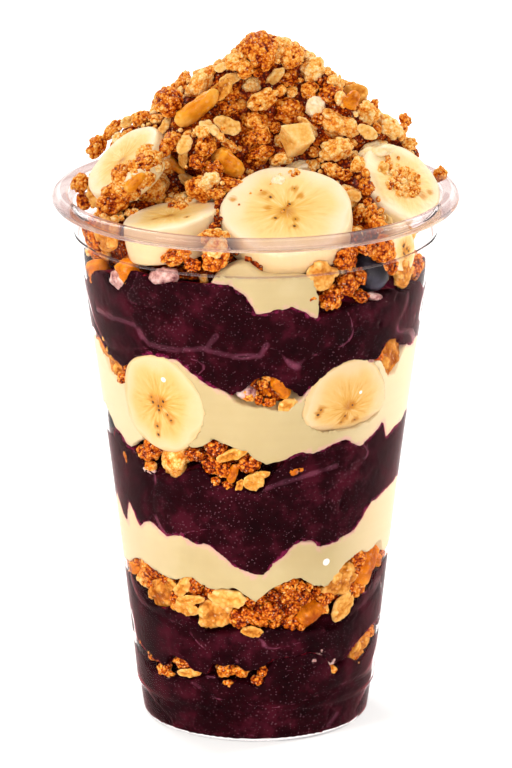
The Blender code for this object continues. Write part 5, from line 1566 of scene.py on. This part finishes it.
def surfaceSamples(node, count, draw):
    # Random points and normals on a CAD node, in mm.
    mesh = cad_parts[node].data
    mesh.calc_loop_triangles()
    corners = np.array([[mesh.vertices[i].co / mm for i in tri.vertices] for tri in mesh.loop_triangles])
    cross = np.cross(corners[:, 1] - corners[:, 0], corners[:, 2] - corners[:, 0])
    area = np.linalg.norm(cross, axis=1)
    chosen = draw.choice(len(area), count, p=area / area.sum())
    a, b = draw.random(count), draw.random(count)
    flip = a + b > 1
    a, b = np.where(flip, 1 - a, a), np.where(flip, 1 - b, b)
    picked = corners[chosen]
    along = a[:, None] * (picked[:, 1] - picked[:, 0])
    across = b[:, None] * (picked[:, 2] - picked[:, 0])
    return picked[:, 0] + along + across, cross[chosen] / area[chosen][:, None]


def spreadOut(points, spacing, taken, shy):
    # Indices of points that keep their distance from each other and from the places taken. shy is the
    # share of a taken piece's size that stays free round it.
    kept = []
    held = np.array([list(place) for place, size in taken])
    reach = np.array([shy * size for place, size in taken])
    for i, point in enumerate(points):
        if (np.linalg.norm(held - point, axis=1) < reach + spacing * 0.5).any():
            continue
        kept.append(i)
        held = np.vstack([held, point])
        reach = np.append(reach, spacing * 0.5)
    return kept


def randomAxes(draw, face, loose):
    # Directions of a piece whose flat side looks nearly the given way.
    tilt = Vector(draw.normal(size=3)) * loose
    face = (Vector(face) + tilt).normalized()
    along = Vector(draw.normal(size=3))
    along = (along - face * along.dot(face)).normalized()
    return along, face.cross(along), face


heapBatch = Batch("heap")
for number, row in enumerate(heapPieces):
    placeOnHeap(heapBatch, number, *row)

heapFill = {
    # spacing, size range, depth below the solid's surface as a share of the size, how many are tried
    "big": (5.0, (6.4, 8.8), 0.4, 7000),
    "middle": (3.3, (4.2, 5.8), 0.34, 9000),
    "small": (2.3, (2.3, 3.4), 0.25, 9000),
    "fine": (1.6, (1.1, 1.9), 0.1, 12000),
}
fillMix = (("nugget", 0.66), ("lump", 0.1), ("oat", 0.13), ("nut", 0.05), ("plate", 0.06))
smallMix = (("nugget", 0.2), ("crumb", 0.8))
fillRules = {
    "wallDepth": 4.0,             # below the lip only what lies this near to the wall shows, in mm
    "lowest": 110.0,
    "facing": -0.35,              # above the lip only faces that don't look down more than this show
    "shy": 0.42,                  # free share round a piece, and round a slice
    "longer": 1.25,               # nuts and oats are this much longer than the rest
    "loose": 0.35,                # how far the pieces tilt
    "tint": (0.45, 0.16, 0.28),   # mean in the middle, what it gains at the sides, and spread
    "halfWidth": 28.0,
}
heapDraw = np.random.default_rng(23)
for middle, (wide, high), count, sizes in crumbHeaps:
    for i in range(count):
        reach, turn = math.sqrt(heapDraw.random()), math.tau * heapDraw.random()
        size = heapDraw.uniform(*sizes)
        kind = "lump" if size > 6 else "crumb"
        placeOnHeap(heapBatch, int(heapDraw.integers(99)), kind,
                    middle[0] + reach * wide * math.cos(turn), middle[1] + reach * high * math.sin(turn),
                    size * 1.15, size, 180 * heapDraw.random(),
                    float(np.clip(heapDraw.normal(0.55, 0.25), 0, 1)))


def pickKind(draw, mix):
    return draw.choice([name for name, share in mix], p=[share for name, share in mix])


def fillHeap(batch, spacing, sizes, depth, tries, mix):
    # Fills the gaps between the placed pieces with pieces of one range of sizes.
    points, normals = surfaceSamples("granola_heap", tries, heapDraw)
    inside = points[:, 2] < cupSizes["lipLow"]
    atWall = radiusOf(points) > wallRadius(points[:, 2]) - fillRules["wallDepth"]
    seenInside = atWall & (points[:, 2] > fillRules["lowest"])
    seen = np.where(inside, seenInside, normals[:, 2] > fillRules["facing"])
    points, normals = points[seen], normals[seen]
    middleTint, sideTint, spread = fillRules["tint"]
    for i in spreadOut(points, spacing, batch.places, fillRules["shy"]):
        size = heapDraw.uniform(*sizes)
        kind = pickKind(heapDraw, mix)
        facts = granolaKinds[kind]["size"]
        scale = size / facts[0] * (fillRules["longer"] if kind in ("nut", "oat") else 1.0)
        face = Vector(normals[i])
        centre = underEdge(Vector(points[i]) - face * size * depth, size)
        near = sliceTree.find_nearest(centre, size)
        if near[0] is not None and near[3] < size * fillRules["shy"]:
            continue
        mean = middleTint + sideTint * min(abs(centre.x) / fillRules["halfWidth"], 1.0)
        batch.add(kind, int(heapDraw.integers(99)), centre, randomAxes(heapDraw, face, fillRules["loose"]),
                  [side * scale * heapDraw.uniform(0.9, 1.1) for side in facts],
                  float(np.clip(heapDraw.normal(mean, spread), 0.0, 1.0)))


for label in heapFill:
    fillHeap(heapBatch, *heapFill[label], smallMix if label in ("small", "fine") else fillMix)
heapBatch.finish(granolaMaterials)
heapCore = makeCore("granola_heap", "heap_core", shrink=1.4, inset=2.4, crumble=1.2, rounding=22)
# the core stays this far under the heap's edge, in mm as the size of a piece there
coreSize = 3.5
setPoints(heapCore, [underEdge(Vector(point), coreSize) if point[2] > cupSizes["lipTop"] else Vector(point)
                     for point in pointsOf(heapCore)])

say("granola bands")
wallBatch = Batch("wall")
for number, row in enumerate(wallPieces):
    placeOnWall(wallBatch, number, *row)
bandFill = {
    # spacing, size range, how many are tried
    "big": (3.9, (4.4, 6.8), 2500),
    "small": (2.2, (2.3, 3.6), 4000),
}
bandMix = (("nugget", 0.66), ("lump", 0.12), ("oat", 0.14), ("nut", 0.08))
bandRules = {
    "wallDepth": 3.3,             # only what lies this near to the wall shows, in mm
    "shy": 0.33,
    "depth": (0.75, 0.35),        # of a piece's middle: in mm, and as a share of its size
    "loose": 0.3,
    # painted shade: the low mean tint darkens the granola at the wall, which gets less light
    "tint": (0.08, 0.22),         # mean and spread
    "into": 0.45,
}
bandDraw = np.random.default_rng(31)
for node in granolaNodes[:4]:
    for label, (spacing, sizes, tries) in bandFill.items():
        points, normals = surfaceSamples(node, tries, bandDraw)
        points = points[radiusOf(points) > wallRadius(points[:, 2]) - bandRules["wallDepth"]]
        for i in spreadOut(points, spacing, wallBatch.places, bandRules["shy"]):
            size = bandDraw.uniform(*sizes)
            kind = pickKind(bandDraw, bandMix)
            facts = granolaKinds[kind]["size"]
            outward = Vector((points[i][0], points[i][1], 0)).normalized()
            least, share = bandRules["depth"]
            reach = float(wallRadius(points[i][2])) - least - size * share
            centre = outward * reach + Vector((0, 0, points[i][2]))
            wallBatch.add(kind, int(bandDraw.integers(99)), centre,
                          randomAxes(bandDraw, outward, bandRules["loose"]),
                          [side * size / facts[0] for side in facts],
                          float(np.clip(bandDraw.normal(*bandRules["tint"]), 0.0, 1.0)),
                          into=bandRules["into"])
    makeCore(node, node + "_core", shrink=0.0, inset=1.5)
wallBatch.finish(granolaMaterials)
